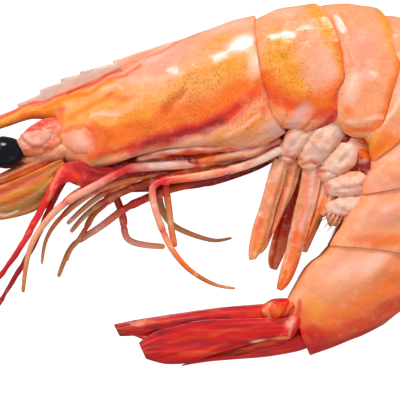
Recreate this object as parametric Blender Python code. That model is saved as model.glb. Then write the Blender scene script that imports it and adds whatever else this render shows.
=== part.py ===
"""A whole head-on shrimp lying on its right side.

The side view is drawn in millimetres: x runs from the rostrum back to the hump of the abdomen, y from the
belly up to the back. z is the height above the surface that the shrimp lies on, so +z is its left side.
The head faces -x, and the tail curls under, back towards the head.
"""

from math import cos, pi, sin, tau

import bmesh
import bpy
from mathutils import Vector

MM = 0.001

# Driving dimensions, in millimetres
MID_HEIGHT = 7.2
SHELL_GAP = 0.3
CARAPACE_HALF_WIDTHS = (4.2, 5.9, 7.1, 7.7, 7.9, 7.8, 7.4)
ABDOMEN_HALF_WIDTHS = (7.0, 7.3, 7.5, 7.4, 7.0, 5.9, 3.7)
CARAPACE_GROOVE = 1.6
STERNUM_SPAN = (0.32, 0.84)
STERNUM_SHARE = 0.58
STERNUM_SECTION = ((-1.0, -0.1), (-0.5, 0.25), (0.0, 0.6), (0.5, 0.25), (1.0, -0.1), (0.5, -0.3),
                   (0.0, -0.4), (-0.5, -0.3))
ABDOMEN_GROOVE = 3.2
ROSTRUM_HALF_THICKNESS = 0.5
ROSTRUM_SLIMMING = 0.6
EYE_RADII = (3.6, 2.7, 2.6)

# How finely the shells are cut, and the roundness of their sections
CARAPACE_SIDES = 28
CARAPACE_RINGS = 20
SEGMENT_SIDES = 26
SEGMENT_RINGS = 7
LIMB_SIDES = 7
WHIP_SIDES = 6
BLADE_SIDES = 8
ROUND_SIDES = 10
SHARP_ANGLE = 0.7
BACK_POWER = 2.2
BELLY_POWER = 4.5
WIDEST_AT = 0.46
RIM_REACH = 1.05
PLEURON_LOBE = 0.8
# How much a segment narrows at its front and flares at its rear, and over what share of its length
TUCK = 0.045
FLARE = 0.012
TUCK_SHARE = 0.3
BACK_NARROWING = 0.10
GROOVE_SPAN = 0.74

# Carapace: back and belly seen from the side, from the eye socket to the rear edge
CARAPACE_BACK = ((-24.0, 15.4), (-19.8, 18.0), (-14.5, 20.6), (-8.2, 23.9), (-1.7, 27.0), (4.1, 29.2),
                 (9.4, 30.7))
CARAPACE_BELLY = ((-22.1, 6.6), (-17.6, 4.9), (-11.6, 6.4), (-5.8, 8.1), (1.6, 8.3), (9.4, 8.5),
                  (14.9, 10.9))

# Upper edge of the rostrum, whose teeth point forward, and its lower edge
CREST = ((-1.7, 26.9), (-6.0, 25.7), (-10.2, 24.3), (-14.6, 22.9), (-20.0, 21.2), (-23.3, 19.9),
         (-26.8, 18.1), (-30.4, 15.7), (-34.4, 13.5), (-38.8, 11.4), (-43.2, 9.8))
TOOTH_XS = (-14.6, -20.0, -23.3, -26.8, -30.4, -33.8, -37.0, -39.8)
TOOTH_UNDERCUT = (0.65, -0.42)
ROSTRUM_KEEL = ((-41.4, 10.0), (-39.4, 10.1), (-38.6, 9.7), (-36.6, 10.6), (-35.8, 10.2), (-33.2, 11.5),
                (-30.9, 12.7), (-28.8, 13.4), (-27.0, 13.3), (-24.0, 13.2), (-18.0, 15.0), (-10.0, 20.0),
                (-3.0, 24.5))

# Abdomen: back and belly at each seam between segments and halfway between them
ABDOMEN_BACK = ((9.4, 30.7), (14.0, 31.7), (18.8, 32.3), (24.3, 32.4), (29.7, 31.4), (37.3, 27.9),
                (42.9, 21.1), (45.9, 13.5), (46.0, 5.3), (44.0, -3.1), (40.4, -10.9), (30.5, -20.5),
                (17.9, -25.8))
ABDOMEN_BELLY = ((14.9, 11.0), (19.1, 11.7), (22.8, 12.4), (24.9, 10.9), (26.9, 9.9), (27.7, 7.9),
                 (28.0, 5.9), (27.3, 3.6), (26.2, 0.7), (24.2, -3.3), (20.8, -7.9), (17.8, -11.7),
                 (14.2, -16.6))
# How far each seam bows backwards halfway down the side, in segment lengths
SEAM_BOWS = (-0.25, 0.36, 0.30, 0.12, 0.05, -0.06, 0.0)
SEGMENTS = 6
# Length of the first segment over that of the carapace, so that both sides of their seam bow alike
CARAPACE_BOW = 0.26
CARAPACE_INSET = 0.006

# Walking limbs of one side, from the third maxilliped back: route in the side view, height above or below
# the middle plane at its root and at its tip, and half widths at root and tip
LEFT_LIMBS = {
    "maxilliped": (((-2.5, 7.2), (-5.8, 7.2), (-9.9, 6.0), (-14.0, 4.1), (-18.2, 2.2), (-21.4, 0.5),
                    (-23.4, -1.7)),
                   3.3, 3.5, 0.60, 0.30),
    "leg_1": (((0.8, 6.9), (-5.0, 5.9), (-9.9, 3.8), (-13.2, 2.3), (-16.5, 0.7), (-19.5, -1.7),
               (-21.9, -4.0)),
              0.9, 1.1, 0.50, 0.30),
    "leg_2": (((4.1, 7.2), (-1.7, 6.1), (-6.6, 4.6), (-11.6, 3.3), (-15.7, 2.1), (-19.0, 0.3),
               (-23.1, -3.1), (-25.4, -6.6), (-26.0, -10.6)), 2.1, 2.3, 0.50, 0.20),
    "leg_3": (((8.0, 7.35), (5.0, 7.0), (1.7, 6.4), (-2.0, 5.8), (-10.2, 5.3), (-12.4, 4.9),
               (-16.5, 2.6), (-20.1, 0.7), (-23.1, -1.3), (-25.4, -3.9), (-27.4, -6.9), (-28.5, -10.8),
               (-28.9, -15.2)),
               4.5, 4.9, 0.64, 0.27),
    "leg_4": (((10.2, 7.5), (6.6, 6.9), (2.5, 6.0), (-1.7, 4.9), (-4.6, 3.9), (-5.6, 2.3), (-5.2, -0.8),
               (-4.7, -4.6), (-4.1, -7.8)), 3.3, 3.3, 0.55, 0.42),
    "leg_5": (((13.5, 8.4), (10.2, 6.7), (6.6, 5.3), (2.6, 4.3), (-1.7, 3.6), (-6.3, 3.0), (-7.8, 2.0),
               (-7.5, -0.8), (-6.4, -4.3), (-4.9, -7.7), (-2.4, -11.0), (0.8, -13.1), (3.2, -14.1),
               (5.8, -14.5)),
              4.6, 5.0, 0.60, 0.18),
}
RIGHT_LIMBS = {
    "maxilliped": (((-2.3, 7.0), (-5.8, 6.6), (-9.9, 5.5), (-14.0, 3.4), (-17.8, 1.4), (-20.8, -0.6),
                    (-23.0, -2.8)),
                   3.3, 3.5, 0.60, 0.30),
    "leg_1": (((1.0, 6.9), (-4.1, 5.0), (-9.1, 2.8), (-13.5, 1.2), (-16.8, -0.8), (-19.5, -3.1),
               (-21.4, -5.4)),
              0.9, 1.1, 0.50, 0.30),
    "leg_2": (((4.3, 7.2), (-1.7, 5.0), (-7.4, 3.0), (-12.4, 1.5), (-15.5, -0.5), (-17.8, -2.5),
               (-18.8, -4.6), (-20.1, -6.6), (-21.4, -8.2), (-22.1, -10.2)), 2.1, 2.3, 0.50, 0.20),
    "leg_3": (((7.6, 7.4), (3.3, 5.0), (-0.5, 3.3), (-5.4, 2.0), (-8.4, 0.4), (-12.2, -1.2),
               (-15.5, -3.7), (-18.1, -5.5), (-20.6, -7.0), (-22.2, -9.2), (-23.5, -12.9)),
               4.5, 3.0, 0.60, 0.30),
    "leg_4": (((11.2, 7.7), (8.2, 5.8), (3.3, 3.7), (-2.5, 2.3), (-6.4, 1.2), (-6.6, -0.6), (-5.4, -3.6),
               (-2.4, -5.4), (1.0, -6.5), (3.0, -6.8), (5.3, -6.3)), 3.3, 3.3, 0.55, 0.18),
    "leg_5": (((13.9, 8.2), (10.2, 5.9), (5.9, 4.2), (0.8, 2.7), (-6.6, 2.0), (-12.6, 1.9), (-14.2, 1.1),
               (-13.4, -0.9), (-12.8, -3.3), (-12.5, -6.0), (-11.2, -7.1), (-8.8, -7.6), (-5.8, -7.8)),
               4.6, 5.7, 0.58, 0.40),
}
# Share of the way from the root's half width to the tip's, at even steps along a limb
LIMB_TAPER = (0.0, 0.1, 0.4, 1.0)
LIMB_FLATNESS = 0.72

# Swimming legs: root and end of the plump base, its half width, and the route and half width of each blade
LEFT_SWIMMERETS = (
    ((17.5, 11.3), (12.8, 7.3), 1.55, (((13.2, 7.7), (11.8, 2.5), (10.2, -3.6), (8.4, -9.9), 1.15),
                                       ((14.2, 7.9), (13.7, 1.7), (12.5, -3.3), (10.7, -7.1), 1.0))),
    ((23.2, 12.0), (17.2, 6.3), 1.75, (((18.2, 6.9), (17.2, 0.0), (15.4, -7.4), (13.0, -14.8), 1.55),)),
    ((26.0, 8.6), (21.4, 4.3), 1.55, (((21.2, 4.8), (20.2, 0.8), (18.7, -3.6), (17.2, -8.2), 0.95),)),
    ((26.6, 2.7), (22.2, 1.9), 1.40, (((22.4, 1.6), (21.8, 0.2), (21.0, -1.6), (20.4, -3.2), 0.7),)),
    ((24.6, -1.65), (22.2, -1.4), 1.10, (((22.5, -1.6), (21.9, -2.8), (21.2, -4.2), (20.6, -5.4), 0.6),)),
)
RIGHT_SWIMMERETS = (
    ((17.5, 11.3), (12.9, 7.2), 1.50, (((13.8, 7.7), (12.4, 2.6), (10.9, -3.2), (9.4, -9.0), 1.15),)),
    ((23.2, 12.0), (17.1, 6.4), 1.70, (((17.2, 6.6), (15.6, 1.2), (13.8, -5.0), (11.8, -11.6), 1.2),)),
    ((26.0, 8.6), (21.4, 4.3), 1.50, (((21.2, 4.8), (20.2, 0.8), (18.5, -4.0), (17.0, -9.4), 1.0),)),
    ((26.6, 2.7), (22.2, 1.9), 1.35, (((22.4, 1.6), (21.8, 0.2), (21.0, -1.6), (20.4, -3.2), 0.7),)),
    ((24.6, -1.65), (22.2, -1.4), 1.05, (((22.5, -1.6), (21.9, -2.8), (21.2, -4.2), (20.6, -5.4), 0.6),)),
)
SWIMMERET_OFFSET = 2.9
SWIMMERET_PROFILE = (0.8, 1.0, 1.0, 0.7)
SWIMMERET_FLATNESS = 0.82
BLADE_PROFILE = (0.75, 1.0, 1.0, 0.9, 0.2)
BLADE_HALF_THICKNESSES = (0.5, 0.5, 0.5, 0.5, 0.25)
BLADE_SPACING = 1.2
BLADE_STAGGER = (0.3, 0.3, -0.8, 0.3, -0.6)

# Tail fan: route, offset from the middle plane, half width along the route
LEFT_TAIL = {
    "outer": (((10.4, -18.5), (4.0, -18.9), (-3.3, -19.8), (-9.9, -20.9), (-14.0, -21.3)),
               3.9, (1.3, 1.5, 1.6, 1.4, 0.8)),
    "inner": (((14.6, -20.7), (8.2, -21.4), (0.0, -23.3), (-5.6, -24.5), (-9.6, -25.0)),
               2.4, (1.2, 2.4, 3.2, 2.7, 1.2)),
}
RIGHT_TAIL = {
    "outer": (((10.4, -18.9), (4.0, -20.0), (-3.3, -21.3), (-9.4, -22.2), (-12.6, -22.7)),
               3.9, (1.3, 1.5, 1.6, 1.4, 0.8)),
    "inner": (((14.6, -21.0), (8.2, -21.8), (0.0, -23.5), (-5.4, -24.3), (-9.0, -24.6)),
               2.4, (1.2, 2.2, 2.8, 2.3, 1.1)),
}
TAIL_HALF_THICKNESSES = (0.5, 0.5, 0.5, 0.5, 0.3)
TAIL_LEAN = 0.2
TAIL_JOINT_ROUTE = ((14.0, -17.7), (12.4, -17.9), (10.8, -18.3))
TAIL_JOINT_HALVES = (1.1, 1.75, 1.2)
TAIL_JOINT_HALF_THICKNESSES = (0.8, 1.2, 0.6)
TAIL_JOINT_OFFSET = 3.1
TELSON_ROUTE = ((16.0, -23.3), (11.6, -24.4), (5.0, -25.4), (0.0, -26.4), (-3.2, -27.3))
TELSON_HALF_HEIGHTS = (1.5, 1.7, 1.3, 0.7, 0.15)
TELSON_HALF_WIDTHS = (1.8, 1.7, 1.3, 0.8, 0.2)

# Head: eyes, feelers and their scales, for one side
EYE_CENTRE = (-32.2, 7.8)
EYE_OFFSET = 3.6
EYESTALK_ROUTE = ((-23.9, 10.9), (-25.4, 10.5), (-26.8, 10.0), (-28.2, 9.4))
EYESTALK_HALF_HEIGHTS = (1.7, 2.4, 2.2, 1.5)
EYESTALK_HALF_WIDTHS = (1.1, 1.3, 1.3, 1.0)
EYESTALK_OFFSET = 3.0
SCALE_ROUTE = ((-23.0, 5.6), (-26.4, 3.6), (-31.4, 0.4), (-36.3, -1.4), (-41.6, -2.6))
SCALE_HALF_WIDTHS = (0.9, 1.9, 2.6, 2.3, 0.6)
SCALE_HALF_THICKNESSES = (0.5, 0.45, 0.4, 0.4, 0.3)
SCALE_OFFSET = 3.2
FEELER_ROUTE = ((-23.9, 8.5), (-26.2, 6.8), (-29.9, 4.7), (-33.4, 3.1), (-36.8, 1.8))
FEELER_HALF_WIDTHS = (1.0, 0.9, 0.85, 0.8, 0.55)
FEELER_OFFSET = 1.0
FEELER_TIPS = (((-36.4, 2.0), (-40.2, 1.3), (-44.6, 0.9), (-48.0, 1.2)),
               ((-36.4, 1.6), (-39.8, -0.3), (-43.2, -2.4), (-46.2, -4.9)))
RIGHT_FEELER_DROP = 0.9
FEELER_FLATNESS = 0.8
WHIP_HALF_WIDTHS = (0.38, 0.14)
ANTENNA_LEFT = ((-19.6, 3.9), (-21.6, 5.2), (-22.9, 4.6), (-24.1, 2.3), (-25.6, -0.8), (-27.4, -4.3),
                (-29.7, -8.2), (-33.0, -12.8), (-36.9, -17.8), (-41.6, -22.8), (-47.0, -27.4))
ANTENNA_RIGHT = ((-19.6, 3.5), (-21.6, 4.6), (-23.4, 2.3), (-24.8, -0.8), (-26.4, -4.6), (-28.4, -8.7),
                 (-31.0, -13.2), (-33.0, -16.5), (-35.3, -21.1), (-37.1, -26.1), (-38.0, -30.5))
ANTENNA_HALF_WIDTHS = (1.0, 1.1, 0.75, 0.6, 0.52, 0.46, 0.4, 0.33, 0.28, 0.22, 0.15)
ANTENNA_OFFSET = 4.7

# Colours: base colour and roughness
COLOURS = {
    "shell_orange": ((0.86, 0.30, 0.08), 0.35),
    "shell_peach": ((0.93, 0.42, 0.22), 0.35),
    "limb_pink": ((0.86, 0.25, 0.14), 0.4),
    "tail_red": ((0.62, 0.02, 0.02), 0.35),
    "swimmeret_orange": ((0.92, 0.36, 0.14), 0.4),
    "scale_olive": ((0.48, 0.20, 0.05), 0.4),
    "feeler_red": ((0.75, 0.06, 0.03), 0.35),
    "eye_black": ((0.01, 0.01, 0.015), 0.12),
    "belly_pink": ((0.80, 0.34, 0.24), 0.45),
}


def clear_scene():
    for old in list(bpy.data.objects):
        bpy.data.objects.remove(old, do_unlink=True)


def make_material(name):
    colour, roughness = COLOURS[name]
    material = bpy.data.materials.new(name)
    material.use_nodes = True
    shader = material.node_tree.nodes["Principled BSDF"]
    shader.inputs["Base Color"].default_value = (*colour, 1.0)
    shader.inputs["Roughness"].default_value = roughness
    shader.inputs["Metallic"].default_value = 0.0
    return material


def smooth_point(points, t):
    """Point at t on the smooth curve through the points: 0 is the first, 1 the last, or a little past."""
    last = len(points) - 1
    place = t * last
    index = min(max(int(place), 0), last - 1)
    f = place - index
    p1, p2 = Vector(points[index]), Vector(points[index + 1])
    p0 = Vector(points[index - 1]) if index > 0 else 2 * p1 - p2
    p3 = Vector(points[index + 2]) if index + 2 <= last else 2 * p2 - p1
    linear = (p2 - p0) * f
    square = (2 * p0 - 5 * p1 + 4 * p2 - p3) * f**2
    cube = (3 * p1 - p0 - 3 * p2 + p3) * f**3
    return 0.5 * (2 * p1 + linear + square + cube)


def smooth_value(values, t):
    return smooth_point([(value, 0.0) for value in values], t)[0]


def signed_power(value, power):
    return abs(value) ** power * (1 if value >= 0 else -1)


def shell_point(back, belly, half_width, angle, groove, swell=1.0, lobe=0.0):
    """Point of a shell's section at an angle from the back (0) past the left side to the belly (pi).

    The back is round, the belly is squarer and has a groove between the lower edges of the two sides,
    which hang lower by the lobe.
    """
    power = BACK_POWER if cos(angle) > 0 else BELLY_POWER
    up = signed_power(cos(angle), 2 / power)
    out = signed_power(sin(angle), 2 / power)
    if abs(sin(angle)) < 1e-9:
        out = 0.0
    height = (back - belly).length
    rise = (back - belly).normalized()
    centre = belly + (back - belly) * WIDEST_AT
    reach = height * (1 - WIDEST_AT) if up > 0 else height * WIDEST_AT * RIM_REACH + lobe
    lift = groove * max(0.0, 1 - (out / GROOVE_SPAN) ** 2) if up < 0 else 0.0
    along = up * reach * swell + lift
    across = out * half_width * swell * (1 - BACK_NARROWING * max(up, 0.0))
    flat = centre + rise * along
    return Vector((flat.x, flat.y, max(MID_HEIGHT + across, 0.0)))


def loft(rings, caps):
    """Closed mesh through rings of equal length, closed at both ends by fans to the given points."""
    mesh = bmesh.new()
    rows = [[mesh.verts.new(point) for point in ring] for ring in rings]
    sides = len(rings[0])
    for row, following in zip(rows, rows[1:]):
        for i in range(sides):
            j = (i + 1) % sides
            mesh.faces.new((row[i], row[j], following[j], following[i]))
    for row, cap, turn in ((rows[0], caps[0], -1), (rows[-1], caps[1], 1)):
        tip = mesh.verts.new(cap)
        for i in range(sides):
            j = (i + 1) % sides
            corners = (row[i], row[j], tip)
            mesh.faces.new(corners[::turn])
    bmesh.ops.recalc_face_normals(mesh, faces=mesh.faces)
    return mesh


def middle(ring):
    return sum(ring, Vector((0, 0, 0))) / len(ring)


def add_object(name, mesh, material, root, sharp=SHARP_ANGLE):
    """Adds a mesh drawn in side view millimetres as an object whose origin is the mesh's middle."""
    bmesh.ops.triangulate(mesh, faces=[face for face in mesh.faces if len(face.verts) > 4])
    origin = middle([vert.co for vert in mesh.verts])
    for vert in mesh.verts:
        vert.co = (vert.co - origin) * MM
    data = bpy.data.meshes.new(name)
    mesh.to_mesh(data)
    mesh.free()
    data.materials.append(material)
    data.shade_smooth()
    data.set_sharp_from_angle(angle=sharp)
    obj = bpy.data.objects.new(name, data)
    obj.location = origin * MM
    obj.parent = root
    bpy.context.collection.objects.link(obj)
    return obj


def hide_helper(obj):
    obj.hide_render = True
    obj.display_type = "WIRE"


def unite(obj, helper):
    modifier = obj.modifiers.new("join_" + helper.name, "BOOLEAN")
    modifier.operation = "UNION"
    modifier.solver = "EXACT"
    modifier.object = helper
    hide_helper(helper)


def tube_mesh(points, heights, half_widths, half_thicknesses, sides, count):
    """Tapered tube along a route in the side view: widths lie in that view, thicknesses run along z."""
    rings = []
    for step in range(count):
        t = step / (count - 1)
        here = smooth_point(points, t)
        ahead = smooth_point(points, min(t + 0.01, 1.0)) - smooth_point(points, max(t - 0.01, 0.0))
        side = Vector((-ahead.y, ahead.x)).normalized()
        z = MID_HEIGHT + smooth_value(heights, t)
        wide = smooth_value(half_widths, t)
        thick = smooth_value(half_thicknesses, t)
        ring = []
        for i in range(sides):
            angle = tau * i / sides
            flat = here + side * wide * cos(angle)
            ring.append(Vector((flat.x, flat.y, z + thick * sin(angle))))
        rings.append(ring)
    return loft(rings, (middle(rings[0]), middle(rings[-1])))


def add_rostrum(material, root):
    """Flat toothed blade that stands on the front of the carapace, thinner towards its tip."""
    undercut = Vector(TOOTH_UNDERCUT)
    outline = [Vector(point) for point in CREST[:3]]
    for x in TOOTH_XS:
        tip = Vector((x, crest_height(x)))
        outline += [tip, tip + undercut]
    outline.append(Vector(CREST[-1]))
    outline += [Vector(point) for point in ROSTRUM_KEEL]
    mesh = bmesh.new()
    base_x, tip_x = CREST[0][0], CREST[-1][0]
    for side in (1, -1):
        corners = []
        for point in outline:
            half = ROSTRUM_HALF_THICKNESS * (1 - ROSTRUM_SLIMMING * (base_x - point.x) / (base_x - tip_x))
            corners.append(mesh.verts.new((point.x, point.y, MID_HEIGHT + side * half)))
        mesh.faces.new(corners[::side])
    mesh.verts.ensure_lookup_table()
    count = len(outline)
    for i in range(count):
        j = (i + 1) % count
        mesh.faces.new([mesh.verts[k] for k in (i, j, count + j, count + i)])
    bmesh.ops.recalc_face_normals(mesh, faces=mesh.faces)
    return add_object("rostrum_blade", mesh, material, root)


def crest_height(x):
    """Height of the rostrum's upper line at x, between the two points of CREST on either side of it."""
    for (x1, y1), (x2, y2) in zip(CREST, CREST[1:]):
        if x2 <= x <= x1:
            return y1 + (y2 - y1) * (x - x1) / (x2 - x1)
    return CREST[-1][1]


def seam_bow(seam, angle):
    """How far a seam bows back at an angle, most of it halfway down the side and none at back and belly."""
    return SEAM_BOWS[seam] * abs(sin(angle)) ** 1.5


def add_carapace(material, root):
    rings = []
    for ring in range(CARAPACE_RINGS):
        t = ring / (CARAPACE_RINGS - 1)
        points = []
        for i in range(CARAPACE_SIDES):
            angle = tau * i / CARAPACE_SIDES
            back_t = t * (1 + (CARAPACE_BOW * seam_bow(0, angle) - CARAPACE_INSET) * t)
            back = smooth_point(CARAPACE_BACK, back_t)
            belly = smooth_point(CARAPACE_BELLY, back_t)
            width = smooth_value(CARAPACE_HALF_WIDTHS, back_t)
            points.append(shell_point(back, belly, width, angle, CARAPACE_GROOVE * min(1.0, 4 * t)))
        rings.append(points)
    shell = add_object("carapace", loft(rings, (middle(rings[0]), middle(rings[-1]))), material, root)
    unite(shell, add_rostrum(material, root))


def segment_swell(t):
    """A segment is tucked in at its front, under the one ahead of it, and flares a little at its rear."""
    tucked = TUCK * (1 - min(t / TUCK_SHARE, 1.0))
    flared = FLARE * max(t - 1 + TUCK_SHARE, 0.0) / TUCK_SHARE
    return 1 - tucked + flared


def abdomen_point(place, angle, swell, lobe):
    t = place / SEGMENTS
    back = smooth_point(ABDOMEN_BACK, t)
    belly = smooth_point(ABDOMEN_BELLY, t)
    width = smooth_value(ABDOMEN_HALF_WIDTHS, t)
    groove = ABDOMEN_GROOVE * min(1.0, 1.6 - 1.4 * t)
    return shell_point(back, belly, width, angle, groove, swell, lobe)


def add_segment(number, material, root):
    rear_point = smooth_point(ABDOMEN_BACK, number / SEGMENTS)
    front_point = smooth_point(ABDOMEN_BACK, (number - 1) / SEGMENTS)
    length = (rear_point - front_point).length
    belly_length = (smooth_point(ABDOMEN_BELLY, number / SEGMENTS)
                    - smooth_point(ABDOMEN_BELLY, (number - 1) / SEGMENTS)).length
    rings = []
    for ring in range(SEGMENT_RINGS):
        t = ring / (SEGMENT_RINGS - 1)
        points = []
        for i in range(SEGMENT_SIDES):
            angle = tau * i / SEGMENT_SIDES
            local_length = belly_length + (length - belly_length) * (1 + cos(angle)) / 2
            inset = SHELL_GAP * 0.7 / local_length
            front = number - 1 + seam_bow(number - 1, angle) + inset
            rear = number + seam_bow(number, angle) - inset
            lobe = PLEURON_LOBE * sin(pi * t)
            points.append(abdomen_point(front + (rear - front) * t, angle, segment_swell(t), lobe))
        rings.append(points)
    add_object(f"abdomen_{number}", loft(rings, (middle(rings[0]), middle(rings[-1]))), material, root)


def add_sternum(material, root):
    """Plate between the lower edges of the carapace, which the walking legs grow from."""
    rings = []
    count = 9
    for step in range(count):
        t = STERNUM_SPAN[0] + (STERNUM_SPAN[1] - STERNUM_SPAN[0]) * step / (count - 1)
        belly = smooth_point(CARAPACE_BELLY, t)
        back = smooth_point(CARAPACE_BACK, t)
        rise = (back - belly).normalized()
        half = STERNUM_SHARE * smooth_value(CARAPACE_HALF_WIDTHS, t)
        points = []
        for q, up in STERNUM_SECTION:
            flat = belly + rise * up
            points.append(Vector((flat.x, flat.y, MID_HEIGHT + q * half)))
        rings.append(points)
    add_object("sternum", loft(rings, (middle(rings[0]), middle(rings[-1]))), material, root)


def add_limbs(limbs, side, side_name, material, root):
    """Walking legs and the third maxilliped of one side: side is 1 for the left, -1 for the right."""
    for name, (route, root_offset, tip_offset, root_half, tip_half) in limbs.items():
        halves = [root_half + (tip_half - root_half) * share for share in LIMB_TAPER]
        thicknesses = [LIMB_FLATNESS * half for half in halves]
        heights = (side * root_offset, side * tip_offset)
        mesh = tube_mesh(route, heights, halves, thicknesses, LIMB_SIDES, 2 * len(route))
        add_object(f"{name}_{side_name}", mesh, material, root)


def add_swimmerets(swimmerets, side, side_name, material, root):
    for number, (start, end, half, blades) in enumerate(swimmerets, 1):
        centre = side * SWIMMERET_OFFSET
        halves = [share * half for share in SWIMMERET_PROFILE]
        thicknesses = [SWIMMERET_FLATNESS * value for value in halves]
        halfway = tuple((a + b) / 2 for a, b in zip(start, end))
        base = tube_mesh((start, halfway, end), (centre, centre), halves, thicknesses, ROUND_SIDES, 7)
        base_object = add_object(f"swimmeret_{number}_{side_name}", base, material, root)
        for blade_number, (*route, blade_half) in enumerate(blades, 1):
            height = centre + side * (BLADE_STAGGER[number - 1] - BLADE_SPACING * (blade_number - 1))
            blade_halves = [share * blade_half for share in BLADE_PROFILE]
            mesh = tube_mesh(route, (height, height), blade_halves, BLADE_HALF_THICKNESSES, BLADE_SIDES, 8)
            blade_name = f"swimmeret_{number}_{side_name}_blade_{blade_number}"
            helper = add_object(blade_name, mesh, material, root)
            unite(base_object, helper)


def add_tail(tail, side, side_name, material, root):
    for name, (route, offset, halves) in tail.items():
        heights = (side * offset, side * (offset - TAIL_LEAN))
        mesh = tube_mesh(route, heights, halves, TAIL_HALF_THICKNESSES, ROUND_SIDES, 10)
        add_object(f"tail_fan_{name}_{side_name}", mesh, material, root)
    height = side * TAIL_JOINT_OFFSET
    thicknesses = TAIL_JOINT_HALF_THICKNESSES
    joint = tube_mesh(TAIL_JOINT_ROUTE, (height, height), TAIL_JOINT_HALVES, thicknesses, ROUND_SIDES, 6)
    add_object(f"tail_joint_{side_name}", joint, material, root)


def add_eye(side, side_name, materials, root):
    mesh = bmesh.new()
    bmesh.ops.create_uvsphere(mesh, u_segments=14, v_segments=9, radius=1.0)
    centre = Vector((*EYE_CENTRE, MID_HEIGHT + side * EYE_OFFSET))
    for vert in mesh.verts:
        vert.co = Vector([part * radius for part, radius in zip(vert.co, EYE_RADII)]) + centre
    add_object(f"eye_{side_name}", mesh, materials["eye_black"], root, sharp=pi)
    height = side * EYESTALK_OFFSET
    heights = (height, side * EYE_OFFSET)
    stalk = tube_mesh(EYESTALK_ROUTE, heights, EYESTALK_HALF_HEIGHTS, EYESTALK_HALF_WIDTHS, ROUND_SIDES, 7)
    add_object(f"eyestalk_{side_name}", stalk, materials["belly_pink"], root)


def add_feelers(side, side_name, antenna_route, materials, root):
    """Antennal scale, antennule with its two whips, and antenna of one side."""
    scale_height = side * SCALE_OFFSET
    heights = (scale_height, scale_height)
    scale = tube_mesh(SCALE_ROUTE, heights, SCALE_HALF_WIDTHS, SCALE_HALF_THICKNESSES, ROUND_SIDES, 10)
    add_object(f"antennal_scale_{side_name}", scale, materials["scale_olive"], root)
    height = side * FEELER_OFFSET
    drop = Vector((0.0, -RIGHT_FEELER_DROP if side < 0 else 0.0))
    thicknesses = [FEELER_FLATNESS * half for half in FEELER_HALF_WIDTHS]
    route = [Vector(point) + drop for point in FEELER_ROUTE]
    stem = tube_mesh(route, (height, height), FEELER_HALF_WIDTHS, thicknesses, BLADE_SIDES, 9)
    antennule = add_object(f"antennule_{side_name}", stem, materials["shell_orange"], root)
    for number, tip_route in enumerate(FEELER_TIPS, 1):
        route = [Vector(point) + drop for point in tip_route]
        whip = tube_mesh(route, (height, height), WHIP_HALF_WIDTHS, WHIP_HALF_WIDTHS, WHIP_SIDES, 7)
        whip_name = f"antennule_{side_name}_whip_{number}"
        unite(antennule, add_object(whip_name, whip, materials["feeler_red"], root))
    antenna_height = side * ANTENNA_OFFSET
    thicknesses = [FEELER_FLATNESS * half for half in ANTENNA_HALF_WIDTHS]
    heights = (antenna_height, antenna_height)
    antenna = tube_mesh(antenna_route, heights, ANTENNA_HALF_WIDTHS, thicknesses, LIMB_SIDES, 20)
    add_object(f"antenna_{side_name}", antenna, materials["feeler_red"], root)


def centre_on_base(root):
    """Puts the middle of the whole shrimp's floor area on the world's origin."""
    corners = []
    for obj in bpy.data.objects:
        if obj.type == "MESH":
            corners += [obj.location + Vector(corner) for corner in obj.bound_box]
    xs = [corner.x for corner in corners]
    ys = [corner.y for corner in corners]
    root.location = (-(min(xs) + max(xs)) / 2, -(min(ys) + max(ys)) / 2, 0.0)


def build():
    clear_scene()
    materials = {name: make_material(name) for name in COLOURS}
    root = bpy.data.objects.new("shrimp", None)
    bpy.context.collection.objects.link(root)
    add_carapace(materials["shell_orange"], root)
    add_sternum(materials["belly_pink"], root)
    for number in range(1, SEGMENTS + 1):
        add_segment(number, materials["shell_peach" if number > 1 else "shell_orange"], root)
    telson = tube_mesh(TELSON_ROUTE, (0.0, 0.0), TELSON_HALF_HEIGHTS, TELSON_HALF_WIDTHS, ROUND_SIDES, 10)
    add_object("telson", telson, materials["tail_red"], root)
    sides = ((1, "left", LEFT_LIMBS, LEFT_SWIMMERETS, LEFT_TAIL, ANTENNA_LEFT),
             (-1, "right", RIGHT_LIMBS, RIGHT_SWIMMERETS, RIGHT_TAIL, ANTENNA_RIGHT))
    for side, side_name, limbs, swimmerets, tail, antenna_route in sides:
        add_eye(side, side_name, materials, root)
        add_feelers(side, side_name, antenna_route, materials, root)
        add_limbs(limbs, side, side_name, materials["limb_pink"], root)
        add_swimmerets(swimmerets, side, side_name, materials["swimmeret_orange"], root)
        add_tail(tail, side, side_name, materials["tail_red"], root)
    bpy.context.view_layer.update()
    centre_on_base(root)


build()
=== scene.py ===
"""Looks of a whole shrimp that lies on its right side: its shells, skins, feelers and light."""
from math import radians

import bmesh
import bpy
import numpy as np
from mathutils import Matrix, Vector


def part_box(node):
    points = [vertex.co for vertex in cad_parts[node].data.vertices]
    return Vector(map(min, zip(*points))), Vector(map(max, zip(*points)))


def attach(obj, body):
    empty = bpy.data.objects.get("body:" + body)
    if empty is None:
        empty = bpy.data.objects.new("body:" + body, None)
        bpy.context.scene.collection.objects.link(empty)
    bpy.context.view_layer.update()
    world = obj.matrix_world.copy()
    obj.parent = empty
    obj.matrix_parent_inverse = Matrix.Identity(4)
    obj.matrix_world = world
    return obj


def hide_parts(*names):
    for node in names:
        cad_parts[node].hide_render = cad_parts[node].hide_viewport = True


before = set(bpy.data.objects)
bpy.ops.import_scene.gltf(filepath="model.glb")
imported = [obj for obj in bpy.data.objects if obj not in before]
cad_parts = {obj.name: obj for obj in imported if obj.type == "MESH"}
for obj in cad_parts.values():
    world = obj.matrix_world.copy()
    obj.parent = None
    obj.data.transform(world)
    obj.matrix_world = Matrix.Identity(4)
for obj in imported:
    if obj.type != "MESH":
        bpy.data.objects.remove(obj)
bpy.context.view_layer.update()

MM = 0.001

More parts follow.
